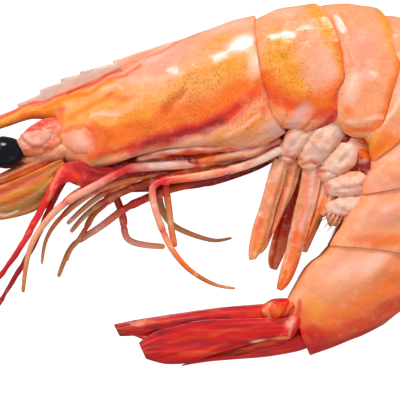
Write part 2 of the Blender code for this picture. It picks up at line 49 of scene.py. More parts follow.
# The photograph's scale, and the point of the shrimp that lies in its middle
PIXEL = 0.165 * MM
PHOTO_WIDTH = 400
PHOTO_CENTRE = (200.0, 200.0)
MIDDLE = (0.86 * MM, -1.0 * MM)
MID_HEIGHT = 7.2 * MM

# The sides of the shrimp: which way each lies from the middle plane, and its name
SIDES = ((1, "left"), (-1, "right"))

# An end of a segment is a fan of more than this many faces about one point. Its front end slides this far
# under the shell ahead and narrows to this share.
HUB_SPOKES = 16
SEGMENT_REACH = 1.1 * MM
SEGMENT_NARROWING = 0.97

# Rounding of a shell's sharp rims, and height and size in millimetres of its soft unevenness
SHELL_RIM = 0.12 * MM
SHARP_EDGE = radians(50)
SHELL_SWELLINGS = (0.09, 4.5)

# Relief starts where a surface faces up or down by this share, and is full over this stretch more
FACING_START = 0.15
FACING_RAMP = 0.35

# How far painted edges waver on shells and on limbs, in pixels
EDGE_WAVER = 1.1
LIMB_WAVER = 0.8

# How much richer and darker than it looks a wet surface's own colour is
RICHNESS = 1.3
DEPTH = 0.86

# Colours as the eye reads them, 0 to 255
COLOURS = {
    "amber": (243, 170, 40),
    "orange": (244, 132, 10),
    "rust": (206, 90, 16),
    "coral": (234, 88, 16),
    "peach": (250, 176, 132),
    "blush": (243, 174, 154),
    "shell_pink": (251, 196, 176),
    "cream": (254, 224, 204),
    # Cream is also laid as a painted highlight along some rims and edges
    "ivory": (228, 200, 184),
    "lilac": (220, 182, 176),
    "grey_pink": (186, 150, 150),
    "tan": (216, 156, 112),
    "apricot": (240, 176, 140),
    "ochre": (188, 120, 44),
    # A painted highlight: the white of glints, laid where light shines on the wet shell
    "glint": (255, 246, 240),
    "bone": (240, 208, 192),
    "olive": (150, 118, 66),
    "scarlet": (222, 44, 42),
    "red": (208, 12, 24),
    "crimson": (146, 12, 26),
    "maroon": (112, 16, 28),
    "ink": (10, 12, 20),
}

# The body that leads from the front of the carapace into the rostrum, as stations from rear to tip
BROW = ((86, 108, 0.0, 13, 3.8), (70, 109, 0.0, 13.5, 3.8), (57, 110.5, 0.0, 11.5, 3.0),
        (45, 111.5, 0.0, 8, 1.8),
        (32, 112.5, 0.0, 6.6, 1.1), (18, 116, 0.0, 6, 0.8), (0, 123.5, 0.0, 5.6, 0.7),
        (-16, 130, 0.0, 4.4, 0.6),
        (-36, 137, 0.0, 2.4, 0.45))
GROOVE = ((100, 160), (140, 148), (160, 142), (200, 131), (225, 122), (235, 114), (244, 105))
CREST_LINE = ((-40, 131), (0, 117), (23, 107.5), (53, 98), (69, 93.5), (95, 82.5), (120, 70), (150, 57),
              (178, 44))

# Painted patches. A spot is colour, strength, centre, radii and tilt; a line is colour, strength, half
# width and the points that it passes. Places are pixels of the photograph. A relief is a spot or a line with
# a height in millimetres in place of colour and strength, and a shift has its reach to the right in pixels.
CARAPACE_PAINT = (
    ("line", "amber", 0.8, 20, ((66, 112), (120, 106), (170, 98), (230, 80))),
    ("spot", "amber", 0.85, (205, 84), (44, 18), -20),
    ("line", "orange", 0.9, 14, ((98, 134), (130, 126), (165, 120), (205, 108), (238, 92))),
    ("spot", "amber", 0.9, (226, 70), (28, 14), -25),
    ("spot", "amber", 0.9, (214, 45), (16, 6), -22),
    ("spot", "peach", 0.75, (152, 86), (28, 10), -20),
    ("spot", "apricot", 0.3, (200, 88), (40, 14), -20),
    ("spot", "blush", 0.95, (160, 62), (52, 11), -22),
    ("line", "shell_pink", 0.5, 4, ((120, 80), (150, 82), (180, 74))),
    ("spot", "bone", 0.5, (150, 60), (30, 4), -24),
    ("spot", "shell_pink", 0.8, (228, 26), (30, 7), -12),
    ("line", "ivory", 0.97, 9, ((-40, 121), (0, 107), (40, 93), (80, 76), (112, 63))),
    ("line", "grey_pink", 0.3, 9, ((-40, 121), (0, 107), (40, 93), (80, 76), (112, 63))),
    ("line", "ivory", 0.6, 5, ((112, 63), (140, 51), (170, 40))),
    ("line", "orange", 0.9, 5, ((-40, 137), (0, 124), (20, 117), (44, 112), (62, 108))),
    ("line", "amber", 0.9, 5, ((0, 121), (30, 110), (60, 103), (90, 95), (112, 84))),
    ("line", "peach", 0.6, 4, ((58, 113), (90, 99), (126, 84))),
    ("line", "orange", 0.8, 2.4, ((20, 116), (60, 102), (92, 92), (122, 76), (140, 68))),
    ("line", "peach", 0.5, 4, ((90, 121), (112, 113), (140, 108))),
    ("line", "orange", 0.6, 3, ((70, 118), (92, 106), (112, 98))),
    ("line", "scarlet", 0.8, 1.8, CREST_LINE[:7]),
    ("line", "rust", 0.45, 1.2, CREST_LINE[6:]),
    ("line", "orange", 0.9, 10, ((96, 150), (130, 138), (160, 129), (200, 116), (225, 106), (244, 92))),
    ("line", "coral", 0.9, 5, ((92, 158), (130, 147), (160, 138), (200, 126), (225, 116), (243, 101),
                               (256, 88))),
    ("line", "peach", 0.95, 9, ((150, 153), (200, 143), (240, 134), (270, 125))),
    ("line", "amber", 0.6, 4, ((215, 140), (240, 132), (262, 122))),
    ("spot", "tan", 0.5, (108, 162), (20, 6), -14),
    ("spot", "orange", 0.5, (88, 158), (16, 5), -10),
    ("spot", "olive", 0.5, (98, 163), (10, 4), -14),
    ("spot", "grey_pink", 0.8, (140, 153), (13, 4), -14),
    ("spot", "orange", 0.9, (258, 84), (15, 9), -30),
    ("spot", "coral", 0.7, (256, 95), (13, 6), -35),
    ("spot", "coral", 0.6, (270, 104), (10, 6), 30),
    ("spot", "lilac", 0.85, (278, 130), (16, 10), 40),
    ("spot", "orange", 0.7, (252, 121), (13, 6), -30),
    ("line", "bone", 0.4, 2.2, ((226, 137), (244, 128), (258, 117))),
    ("line", "bone", 0.4, 2.2, ((238, 147), (256, 142), (272, 134))),
    ("line", "tan", 0.6, 1.4, ((200, 147), (230, 141), (254, 131), (272, 118))),
    ("spot", "coral", 0.5, (262, 112), (6, 4), -40),
    ("line", "shell_pink", 0.6, 3, ((170, 147), (190, 143), (210, 139))),
    ("line", "scarlet", 0.9, 6.5, ((134, 149), (160, 141), (200, 129), (226, 119), (238, 109))),
    ("line", "red", 0.7, 4, ((150, 145), (176, 138), (204, 129), (222, 122))),
    ("line", "maroon", 0.55, 4.6, ((146, 148), (160, 144), (200, 132), (224, 123))),
    ("line", "coral", 0.7, 3.4, ((225, 121), (236, 112), (246, 103))),
    ("line", "maroon", 0.7, 2, ((90, 169), (105, 167), (128, 161))),
    ("spot", "orange", 1.0, (112, 134), (20, 17), 20),
    ("line", "amber", 0.8, 5, ((100, 124), (120, 120), (150, 114))),
    ("line", "coral", 0.5, 4, ((93, 128), (99, 138), (97, 152))),
    ("line", "rust", 0.4, 3, ((100, 128), (112, 138), (104, 148))),
    ("spot", "blush", 1.0, (80, 140), (14, 12), 20),
    ("spot", "shell_pink", 0.8, (84, 141), (8, 6), 30),
    ("line", "orange", 0.8, 2.4, ((66, 134), (72, 129), (82, 127), (90, 131))),
    ("line", "rust", 0.6, 1.5, ((68, 148), (76, 154), (88, 153))),
    ("line", "apricot", 0.85, 6, ((60, 132), (61, 144), (68, 160))),
    ("line", "coral", 0.55, 4, ((62, 110), (60, 122), (63, 132))),
    ("spot", "orange", 0.95, (124, 99), (14, 3.6), -5),
    ("spot", "rust", 0.6, (112, 96), (7, 2.5), -20),
    ("line", "cream", 0.4, 2.2, ((92, 117), (105, 115), (118, 115))),
    ("line", "cream", 0.35, 1.6, ((104, 91), (118, 86), (124, 90))),
    ("line", "rust", 0.6, 4, ((164, 108), (174, 101), (184, 94))),
    ("spot", "coral", 0.6, (166, 112), (7, 4), -30),
    # Painted highlights: a white band of glints over the rear of the carapace, running down to its rear edge
    ("spot", "cream", 0.7, (254, 64), (8, 14), 8),
    ("spot", "glint", 0.95, (243, 44), (13, 7), -24),
    ("spot", "glint", 0.75, (221, 60), (9, 4), -30),
    ("spot", "glint", 0.7, (258, 62), (4, 9), 10),
    ("line", "grey_pink", 0.55, 1.5, ((0, 109), (16, 104.5), (37, 92), (58, 81), (79, 73), (111, 62))),
    ("spot", "rust", 0.9, (258, 24), (3, 4), 0),
)
CARAPACE_RELIEF = (
    ("line", -0.26, 3.4, GROOVE),
    ("line", 0.28, 8, ((118, 162), (150, 152), (200, 142), (240, 133), (268, 124))),
    ("spot", 0.4, (78, 141), (12, 11), 20),
    ("line", -0.18, 1.6, ((66, 134), (72, 128), (84, 127), (92, 133))),
    ("spot", 0.3, (244, 48), (18, 14), -10),
    ("spot", 0.25, (214, 60), (14, 9), -20),
    ("spot", 0.25, (258, 68), (8, 12), 0),
    ("line", -0.12, 2, ((96, 124), (101, 138), (98, 154))),
    ("line", 0.08, 3, ((228, 138), (246, 128), (260, 116))),
    ("line", -0.22, 1.6, CREST_LINE[4:]),
    ("spot", 0.12, (114, 107), (12, 2), -3),
    ("spot", -0.1, (176, 101), (12, 5), -38),
)
ABDOMEN_PAINT = {
    "abdomen_1": (
        ("line", "amber", 1.0, 14, ((278, 44), (283, 62), (288, 80), (300, 92))),
        ("line", "amber", 0.8, 9, ((266, 58), (270, 74), (276, 90))),
        ("spot", "shell_pink", 0.7, (320, 70), (15, 28), 0),
        ("spot", "apricot", 0.5, (312, 66), (12, 26), 0),
        ("line", "amber", 1.0, 7, ((308, 6), (317, 18), (328, 36), (336, 52), (341, 66))),
        ("line", "orange", 1.0, 5, ((336, 42), (343, 58), (342, 72), (337, 88), (332, 104))),
        ("line", "orange", 1.0, 12, ((262, 82), (280, 98), (300, 106), (322, 104), (334, 94))),
        ("line", "coral", 0.85, 6, ((258, 88), (272, 98), (290, 106), (310, 115), (328, 112), (336, 98))),
        ("line", "blush", 0.85, 8, ((304, 112), (296, 124), (288, 134))),
        ("line", "lilac", 0.7, 3.5, ((300, 112), (290, 126))),
        ("line", "rust", 0.6, 1.4, ((286, 112), (281, 122), (278, 130))),
        ("line", "rust", 0.7, 1.6, ((313, 116), (304, 128), (298, 136))),
        ("line", "red", 1.0, 5.5, ((316, 133), (326, 124), (338, 112))),
        # Painted highlight: a glint along the top of the first segment
        ("line", "glint", 0.8, 3, ((272, 39), (283, 35), (292, 36))),
        ("spot", "shell_pink", 0.6, (285, 12), (22, 6), -8),
    ),
    "abdomen_2": (
        ("spot", "blush", 0.7, (360, 50), (16, 26), 0),
        ("line", "amber", 1.0, 7, ((382, 14), (388, 28), (394, 44), (396, 58))),
        ("spot", "shell_pink", 0.8, (358, 76), (12, 8), -20),
        ("spot", "bone", 0.8, (350, 92), (7, 14), 12),
        # Painted highlights: two small glints on the second segment's flank
        ("spot", "glint", 0.6, (370, 75), (5, 2), 12),
        ("spot", "glint", 0.4, (352, 71), (3, 1.6), 0),
        ("line", "orange", 1.0, 5.5, ((398, 58), (396, 76), (391, 92), (384, 112), (374, 128))),
        ("spot", "orange", 0.8, (346, 112), (6, 5), 0),
        # Painted highlights: a glint by the front edge, and a pale streak of light along the lower rim of the
        # second segment
        ("line", "glint", 0.7, 2.4, ((334, 18), (337, 26), (341, 34))),
        ("line", "cream", 0.4, 2.4, ((346, 124), (360, 121), (378, 119))),
        ("line", "orange", 0.9, 3, ((346, 131), (362, 130), (374, 127))),
    ),
    "abdomen_3": (
        ("line", "orange", 0.7, 5, ((430, 40), (436, 60), (428, 84), (414, 118), (404, 140))),
        ("spot", "orange", 1.0, (380, 148), (24, 12), -25),
        ("spot", "amber", 0.8, (368, 142), (12, 6), -25),
        ("spot", "amber", 0.5, (384, 152), (10, 5), -25),
        # Painted highlight along the third segment's edge, under the second segment's rim
        ("line", "cream", 0.7, 2, ((398, 96), (392, 108), (384, 120))),
        ("spot", "shell_pink", 0.6, (404, 90), (12, 24), 10),
    ),
    "abdomen_4": (
        ("line", "orange", 0.6, 5, ((480, 126), (458, 148), (424, 168), (392, 178))),
        ("spot", "shell_pink", 0.6, (410, 150), (24, 10), -30),
        ("spot", "blush", 0.8, (384, 186), (22, 11), 0),
        ("spot", "shell_pink", 0.5, (372, 178), (7, 5), -20),
        ("spot", "shell_pink", 0.5, (400, 172), (8, 4), -20),
    ),
    "abdomen_5": (
        ("spot", "coral", 0.5, (366, 238), (20, 5), -6),
        ("line", "coral", 0.35, 8, ((428, 288), (452, 262))),
        ("line", "orange", 0.8, 5, ((474, 200), (440, 214), (400, 236), (372, 245))),
        ("spot", "blush", 0.7, (378, 216), (24, 11), -10),
        ("spot", "shell_pink", 0.6, (386, 208), (8, 4), -10),
        ("spot", "shell_pink", 0.5, (358, 226), (7, 5), -20),
    ),
    "abdomen_6": (
        ("spot", "shell_pink", 0.7, (352, 266), (34, 14), -20),
        ("spot", "bone", 0.5, (372, 262), (16, 7), -30),
        ("line", "orange", 0.85, 17, ((296, 320), (330, 322), (372, 300), (416, 262))),
        ("line", "coral", 0.95, 9, ((300, 336), (336, 334), (376, 316), (400, 300))),
        ("line", "coral", 0.5, 7, ((400, 302), (424, 284))),
        ("line", "red", 1.0, 6, ((298, 350), (340, 346), (366, 334))),
        ("line", "red", 0.7, 4, ((366, 334), (392, 318))),
        ("line", "scarlet", 0.5, 3, ((392, 318), (416, 300))),
        ("spot", "red", 1.0, (306, 340), (20, 15), 0),
        ("line", "red", 0.7, 2.5, ((298, 302), (299, 312), (296, 322), (300, 334))),
        ("line", "orange", 0.7, 3, ((328, 244), (310, 262), (292, 284))),
        ("spot", "amber", 0.6, (315, 306), (10, 12), 20),
        ("spot", "red", 0.95, (308, 344), (18, 12), -15),
        ("line", "red", 0.8, 4, ((318, 348), (346, 342), (374, 328))),
    ),
}

# The carapace's dark dots thicken from here on, in pixels, and over this stretch
DOTS_START = 90
DOTS_RAMP = 60
# How thick the dark dots are on each segment, from the front one to the last
SEGMENT_DOTS = (1.0, 0.7, 0.45, 0.3, 0.2, 0.12)

# Where segments 1 and 2 and segments 2 and 3 meet, their rims bend otherwise than the plain solids' do
ABDOMEN_SHIFTS = {
    "abdomen_1": (("line", -9, 12, ((346, 96), (344, 128))),),
    "abdomen_2": (("line", 8, 14, ((392, 70), (380, 112), (374, 128))),
                  ("line", -9, 12, ((344, 96), (342, 128)))),
    "abdomen_3": (("line", 8, 12, ((386, 76), (374, 112))),),
}
# Swellings along the middle of each segment, and the join of the first one with the carapace
ABDOMEN_RELIEF = {
    "abdomen_1": (
        ("line", 0.15, 5, ((262, 20), (265, 44), (266, 60))),
        ("line", -0.08, 5, ((268, 78), (273, 93), (286, 110))),
        ("spot", 0.3, (284, 42), (12, 16), 0),
        ("line", 0.3, 13, ((300, 60), (306, 92))),
    ),
    "abdomen_2": (
        ("line", 0.3, 6, ((336, 20), (350, 48), (356, 66))),
        ("line", 0.3, 10, ((356, 84), (354, 112))),
        ("line", 0.1, 3, ((346, 124), (362, 121), (378, 119))),
    ),
    "abdomen_3": (("line", 0.35, 12, ((400, 70), (396, 110))),),
    "abdomen_4": (("line", 0.35, 11, ((430, 130), (398, 168))),),
    "abdomen_5": (("line", 0.35, 11, ((430, 196), (384, 216))),),
    "abdomen_6": (
        ("line", 0.35, 12, ((380, 262), (330, 290))),
    ),
}

# The soft unevenness of shells and skins is a sum of this many waves, always the same ones
WAVES = 9
WAVE_SEED = 5

# How finely routes are followed, and how the round ends of a body close: reach and size of each ring
ROUTE_STEPS = 10
LIMB_STEPS = 240
END_CAP = ((0.85, 0.3), (0.7, 0.62), (0.4, 0.88))

# How a limb's width changes: in all, in a swelling before each joint and in a pinch at the joint. The
# swelling's place and softness, the pinch's reach and the red of a joint's reach are in millimetres.
LIMB_GROWTH = 1.36
LIMB_SWELL = 0.16
LIMB_PINCH = 0.3
SWELL_PLACE = 0.9
SWELL_SOFTNESS = 0.7
PINCH_REACH = 0.35
JOINT_RED = 0.85
JOINT_RED_REACH = 0.8

# Tail fan. Each blade has its upper and its lower edge from root to tip, its offset from the middle plane
# in millimetres, and its number of ribs.
WIDE_BLADE = (((289, 317), (262, 317), (230, 318), (200, 319), (176, 325), (154, 331), (139, 342)),
              ((290, 336), (266, 339), (240, 346), (212, 354), (191, 361.5), (166, 363), (146, 357.5)))
RIM_BLADE = (((284, 301), (261, 303.5), (221, 307), (184, 312), (138, 319), (114, 324)),
             ((284, 320), (250, 324), (221, 325), (184, 330), (150, 334), (120, 335.5)))
LOW_BLADE = (((282, 304), (240, 310), (200, 317), (150, 327), (124, 333.5)),
             ((282, 326), (240, 330), (200, 335), (165, 340), (144, 341.5)))
HIDDEN_BLADE = (((289, 318), (262, 319), (230, 320), (200, 322), (176, 328), (156, 334), (143, 344)),
                ((290, 336), (266, 339), (240, 346), (212, 353), (191, 360), (168, 361), (149, 356)))
TAIL_BLADES = {
    "left": {"outer": (RIM_BLADE, 2.9, 3), "inner": (WIDE_BLADE, 3.6, 5)},
    "right": {"outer": (LOW_BLADE, 3.9, 3), "inner": (HIDDEN_BLADE, 2.4, 5)},
}
TAIL_JOINT = ((299, 308, 2.6, 7, 1.0), (288, 307, 3.0, 8.5, 1.3), (275, 309, 3.4, 10, 1.5),
              (266, 311, 3.3, 7, 1.2))
TAIL_WEB = ((302, 306, 1.6, 9, 1.4), (293, 316, 2.2, 11, 1.4), (284, 326, 2.6, 12, 1.3),
            (272, 332, 2.6, 8, 1.0))
TAIL_PAD = ((299, 316, 2.4, 6, 1.3), (292, 324, 3.2, 7.5, 1.5), (286, 333, 3.2, 6.5, 1.3),
            (276, 336, 3.0, 4, 0.9))
TELSON = ((304, 338, 0.0, 12, 2.6), (285, 344, 0.0, 10, 2.6), (262, 348, 0.0, 9.5, 2.3),
          (236, 352.5, 0.0, 7, 1.7),
          (210, 358, 0.0, 3.6, 1.0), (190, 363, 0.0, 1.5, 0.5), (182, 365.5, 0.0, 0.6, 0.25))
TAIL_JOINT_RELIEF = (
    ("line", -0.3, 1.4, ((265, 301), (263, 309), (267, 317))),
    ("line", -0.35, 1.5, ((290, 299), (286, 309), (279, 319))),
    ("spot", 0.25, (274, 309), (7, 6), 0),
)
TELSON_PAINT = (
    ("line", "red", 0.7, 8, ((300, 346), (262, 350), (230, 355))),
    ("line", "orange", 0.6, 2.6, ((272, 342), (248, 347), (214, 355))),
    ("line", "coral", 0.6, 2.4, ((290, 348), (262, 352), (236, 357))),
    ("line", "scarlet", 0.8, 4, ((232, 355), (208, 359), (190, 363))),
    ("spot", "red", 0.9, (298, 345), (14, 12), 0),
)
TELSON_RELIEF = (
    ("line", 0.35, 2.4, ((286, 336), (262, 341), (240, 348))),
    ("line", -0.3, 1.6, ((284, 342), (262, 347), (236, 354))),
    ("spot", 0.2, (258, 341), (3, 2), 0),
    ("spot", 0.2, (265, 339), (2, 2), 0),
)
TAIL_PAINT = (
    ("line", "crimson", 0.8, 2.2, ((262, 302), (200, 309), (150, 317), (114, 324))),
    ("line", "crimson", 0.6, 4, ((120, 331), (150, 326), (180, 320), (206, 317))),
    ("line", "blush", 0.5, 1.4, ((132, 321), (140, 325), (146, 322), (156, 321))),
    ("line", "red", 0.8, 2, ((158, 319), (200, 313), (250, 307))),
    ("line", "crimson", 0.85, 1.8, ((230, 318), (200, 319.5), (176, 325), (154, 332), (140, 342))),
    ("line", "crimson", 0.6, 1.6, ((270, 326), (230, 330), (190, 337), (150, 346))),
    ("line", "crimson", 0.6, 1.6, ((262, 336), (225, 343), (190, 351), (160, 355))),
    ("line", "crimson", 0.7, 2.2, ((146, 357), (166, 363), (191, 361))),
    ("line", "crimson", 0.6, 1.8, ((274, 336), (240, 342), (205, 354), (180, 364))),
    ("line", "scarlet", 0.8, 4, ((290, 344), (262, 349), (236, 354), (206, 360))),
    ("line", "coral", 0.7, 1.8, ((210, 333), (232, 330), (250, 328))),
    ("line", "coral", 0.55, 1.5, ((168, 340), (200, 336), (215, 334))),
    ("line", "coral", 0.6, 1.6, ((180, 354), (205, 348), (225, 343))),
    ("line", "coral", 0.6, 2.2, ((250, 313), (262, 312))),
    ("line", "coral", 0.5, 2, ((148, 322), (170, 319))),
    ("spot", "coral", 0.6, (258, 327), (6, 3), 0),
    ("spot", "blush", 0.6, (140, 323), (6, 2.5), 10),
    ("spot", "maroon", 0.7, (158, 331), (8, 4), 20),
    ("spot", "maroon", 0.55, (120, 332), (4, 4), 0),
    ("spot", "crimson", 0.7, (122, 328), (10, 6), 0),
    ("spot", "crimson", 0.6, (150, 350), (12, 9), 0),
    ("line", "orange", 0.85, 4, ((296, 341), (276, 344), (258, 349))),
    ("line", "rust", 0.6, 2, ((252, 351), (230, 355), (205, 361))),
    ("spot", "cream", 0.7, (258, 340.5), (7, 2), 12),
    ("spot", "olive", 0.8, (182, 366), (6, 1.5), 10),
    ("spot", "coral", 0.95, (272, 310), (11, 10), 0),
    ("spot", "orange", 0.8, (277, 309), (5, 5), 0),
    ("spot", "orange", 0.7, (292, 306), (7, 7), 0),
    ("line", "peach", 0.8, 2, ((268, 301), (266, 310), (270, 317))),
    ("line", "crimson", 0.75, 1.5, ((297, 303), (288, 311), (285, 320), (279, 323))),
    ("spot", "scarlet", 0.85, (292, 332), (10, 7), 30),
    ("spot", "blush", 0.85, (291, 320), (4, 7), 30),
    ("spot", "red", 0.9, (301, 342), (9, 8), 0),
    ("line", "blush", 0.7, 1.3, ((288, 320), (292, 326), (288, 333))),
    ("line", "peach", 0.7, 1.6, ((262, 343), (276, 338), (288, 336))),
    ("spot", "scarlet", 0.7, (272, 326), (7, 5), 0),
)

# Swimming legs: the base's stations, whose third value is an offset from the middle plane, and each blade's
# edges and offset
SWIMMERETS = {
    "left": (
        (((322, 117, 2.0, 10, 1.6), (309, 127, 3.1, 13, 2.2), (296, 140, 3.3, 13.5, 2.3),
          (286, 154, 3.1, 11, 1.8)),
         ((((274, 158), (268, 177), (261, 203), (253, 227), (249, 248), (250, 260)),
           ((288, 160), (283, 184), (276, 206), (270, 230), (261, 250), (254, 259)), 3.1),
          (((285, 158), (281, 189), (274, 217), (270, 234)),
           ((303, 158), (296, 184), (289, 200), (273, 232)), 2.2))),
        (((344, 116, 2.2, 11, 1.7), (333, 128, 3.2, 15, 2.5), (320, 143, 3.5, 16, 2.6),
          (308, 160, 3.2, 12.5, 2.0)),
         ((((303, 164), (299, 190), (294, 211), (289, 236), (284, 256), (279, 275), (277, 289)),
           ((322, 164), (318, 191), (311, 218), (303, 246), (297, 266), (289, 283), (280, 290)), 3.2),)),
        (((368, 138, 2.2, 11, 1.6), (354, 148, 3.0, 14, 2.2), (339, 160, 3.2, 15, 2.3),
          (325, 172, 2.9, 11.5, 1.7)),
         ((((316, 172), (314, 190), (310, 208), (305, 226), (302, 245)),
           ((333, 172), (329, 196), (321, 217), (312, 231), (305, 246)), 2.3),)),
        (((380, 178, 2.4, 11, 1.7), (362, 182, 3.2, 13, 2.2), (345, 185, 3.2, 13, 2.2),
          (331, 187, 2.9, 10, 1.6)),
         ((((326, 186), (324, 196), (321, 206), (319, 214)),
           ((336, 190), (333, 200), (328, 210), (323, 217)), 2.6),)),
        (((374, 203, 2.4, 9, 1.5), (356, 205, 3.1, 11, 1.9), (342, 206.5, 3.1, 10.5, 1.8),
          (329, 208, 2.8, 7.5, 1.3)),
         ((((326, 210), (326, 215), (328, 221), (331, 226)),
           ((350, 212), (346, 217), (340, 221), (335, 226)), 2.3),)),
    ),
    "right": (
        (((318, 126, 2.2, 8, 1.6), (306, 133, 2.9, 10, 1.9), (294, 143, 3.0, 10, 1.9),
          (285, 153, 2.9, 7.5, 1.5)),
         ((((278, 158), (272, 180), (266, 203), (258, 227), (256, 246), (256, 254)),
           ((295, 160), (290, 182), (282, 206), (274, 230), (266, 248), (259, 254)), 3.1),)),
        (((338, 124, 2.4, 9, 1.7), (330, 134, 3.0, 12.5, 2.1), (320, 147, 3.1, 12.5, 2.1),
          (310, 160, 3.0, 9, 1.7)),
         ((((293, 164), (286, 190), (279, 215), (273, 238), (269, 258), (271, 269)),
           ((312, 164), (306, 190), (298, 212), (290, 230), (285, 252), (276, 271)), 3.2),)),
        (((356, 143, 2.4, 8, 1.6), (346, 153, 2.9, 11, 2.0), (334, 164, 3.0, 11, 2.0),
          (327, 173, 2.8, 8, 1.5)),
         ((((316, 172), (314, 190), (310, 212), (306, 234), (303, 252)),
           ((333, 172), (329, 196), (322, 219), (314, 236), (306, 253)), 2.3),)),
        (((364, 183, 2.2, 8, 1.5), (354, 187, 2.8, 10, 1.8), (342, 189, 2.9, 10, 1.8),
          (332, 190, 2.7, 7, 1.4)),
         ((((326, 186), (324, 196), (321, 206), (319, 214)),
           ((336, 190), (333, 200), (328, 210), (323, 217)), 2.6),)),
        (((362, 206, 2.2, 5, 1.2), (350, 208, 2.7, 7, 1.4), (338, 209, 2.7, 7, 1.4),
          (330, 210, 2.6, 4.5, 1.1)),
         ((((326, 210), (326, 215), (328, 221), (331, 226)),
           ((350, 212), (346, 217), (340, 221), (335, 226)), 2.3),)),
    ),
}
# Stiff hairs at the edges of two swimming legs: root, middle and tip in pixels, and height in millimetres
BRISTLES = {
    (3, "left"): (
        ((331, 170), (330, 175), (328, 179), 11.4), ((335, 168), (335, 174), (333, 179), 11.6),
        ((339, 166), (340, 172), (340, 177), 11.6), ((343, 164), (345, 170), (347, 174), 11.4),
        ((347, 161), (350, 166), (353, 170), 11.2),
    ),
    (5, "left"): (
        ((330, 210), (326, 217), (320, 221), 11.2), ((334, 212), (329, 221), (323, 227), 11.0),
        ((338, 213), (333, 223), (326, 231), 11.2), ((342, 214), (336, 226), (329, 236), 10.8),
        ((346, 214), (340, 227), (333, 240), 11.2), ((350, 214), (345, 226), (339, 236), 10.8),
    ),
}
SWIMMERET_RELIEF = (
    ("line", -0.45, 1.5, ((276, 156), (287, 158), (299, 160))),
    ("line", -0.25, 1.6, ((318, 122), (303, 134), (290, 148))),
    ("line", 0.2, 3, ((338, 126), (324, 143), (312, 158))),
    ("line", -0.25, 1.5, ((350, 152), (338, 164))),
    ("line", -0.25, 1.6, ((368, 184), (350, 188), (334, 190))),
    ("line", -0.35, 1.4, ((300, 166), (310, 163), (322, 166))),
    ("line", -0.3, 1.3, ((318, 172), (328, 172), (336, 176))),
)
BRISTLE_WIDTHS = ((1.3, 0.16), (0.8, 0.12), (0.3, 0.05))
# The first five of these cover the bases, which carry the dark dots
BASE_PATCHES = 5
PALE_BASES = (
    ("line", "bone", 0.9, 11, ((316, 124), (300, 138), (287, 150))),
    ("line", "bone", 0.9, 13, ((338, 122), (326, 138), (313, 158))),
    ("line", "bone", 0.9, 11, ((356, 142), (342, 157), (329, 170))),
    ("line", "bone", 0.9, 11, ((364, 185), (350, 188), (334, 190))),
    ("line", "bone", 0.9, 9, ((360, 205), (334, 208))),
    ("line", "lilac", 0.6, 3, ((306, 122), (294, 136), (284, 150))),
    ("line", "cream", 0.6, 2.5, ((330, 130), (318, 144), (306, 158))),
    ("spot", "grey_pink", 0.5, (340, 136), (4, 8), 35),
    ("spot", "apricot", 0.45, (320, 142), (7, 13), 40),
    ("spot", "grey_pink", 0.6, (312, 150), (4, 8), 45),
    ("spot", "blush", 0.7, (356, 186), (10, 5), 0),
    ("spot", "coral", 0.6, (327, 188), (4, 6), 0),
    ("line", "olive", 0.9, 7, ((322, 222), (334, 230), (342, 228))),
    ("spot", "shell_pink", 0.8, (283, 148), (6, 6), 0),
    ("spot", "coral", 0.6, (290, 155), (7, 3), 20),
    ("spot", "coral", 0.65, (312, 163), (9, 3.5), 10),
    ("spot", "coral", 0.6, (321, 171), (5, 4), 0),
    ("spot", "orange", 0.9, (364, 141), (12, 8), 30),
)
SWIMMERET_PAINT = {
    "left": (
        ("line", "apricot", 0.95, 9, ((280, 168), (268, 200), (258, 226))),
        ("line", "apricot", 0.8, 7, ((296, 170), (284, 205), (272, 234))),
        ("line", "tan", 0.8, 3, ((284, 170), (277, 205), (266, 236))),
        ("line", "coral", 0.5, 2, ((290, 172), (280, 206), (270, 236))),
        ("line", "tan", 0.45, 3, ((270, 186), (262, 212), (255, 232))),
        ("line", "shell_pink", 0.6, 3, ((276, 166), (266, 196), (257, 224))),
        ("line", "orange", 0.35, 12, ((272, 190), (264, 216), (256, 240))),
        ("line", "coral", 0.5, 4, ((262, 220), (256, 245))),
        ("spot", "amber", 0.6, (258, 246), (4, 10), 15),
        ("line", "apricot", 0.85, 11, ((312, 172), (304, 212), (292, 250))),
        ("line", "shell_pink", 0.9, 5, ((313, 170), (309, 200), (302, 232), (295, 250))),
        ("line", "blush", 0.8, 3, ((304, 205), (294, 235), (288, 262))),
        ("line", "coral", 0.8, 3, ((308, 238), (298, 262), (286, 284))),
        ("line", "orange", 0.9, 5, ((298, 236), (290, 262), (281, 286))),
        ("line", "orange", 0.45, 2.4, ((299, 176), (292, 206), (286, 232))),
        ("line", "tan", 0.8, 2.2, ((304, 170), (298, 200), (291, 230))),
        ("line", "coral", 0.4, 3.4, ((309, 176), (302, 210), (293, 244))),
        ("line", "orange", 0.8, 5, ((326, 190), (316, 214), (306, 240))),
        ("line", "shell_pink", 0.6, 2.5, ((324, 186), (314, 208), (306, 224))),
    ) + PALE_BASES,
    "right": (
        # The far-side blades are painted deep red: partly their own red, partly painted shade where they lie
        # behind the near ones
        ("line", "red", 0.95, 14, ((300, 170), (286, 205), (280, 230))),
        ("line", "coral", 0.9, 8, ((282, 234), (275, 262))),
        ("line", "peach", 0.6, 4, ((283, 240), (277, 266))),
    ) + PALE_BASES,
}

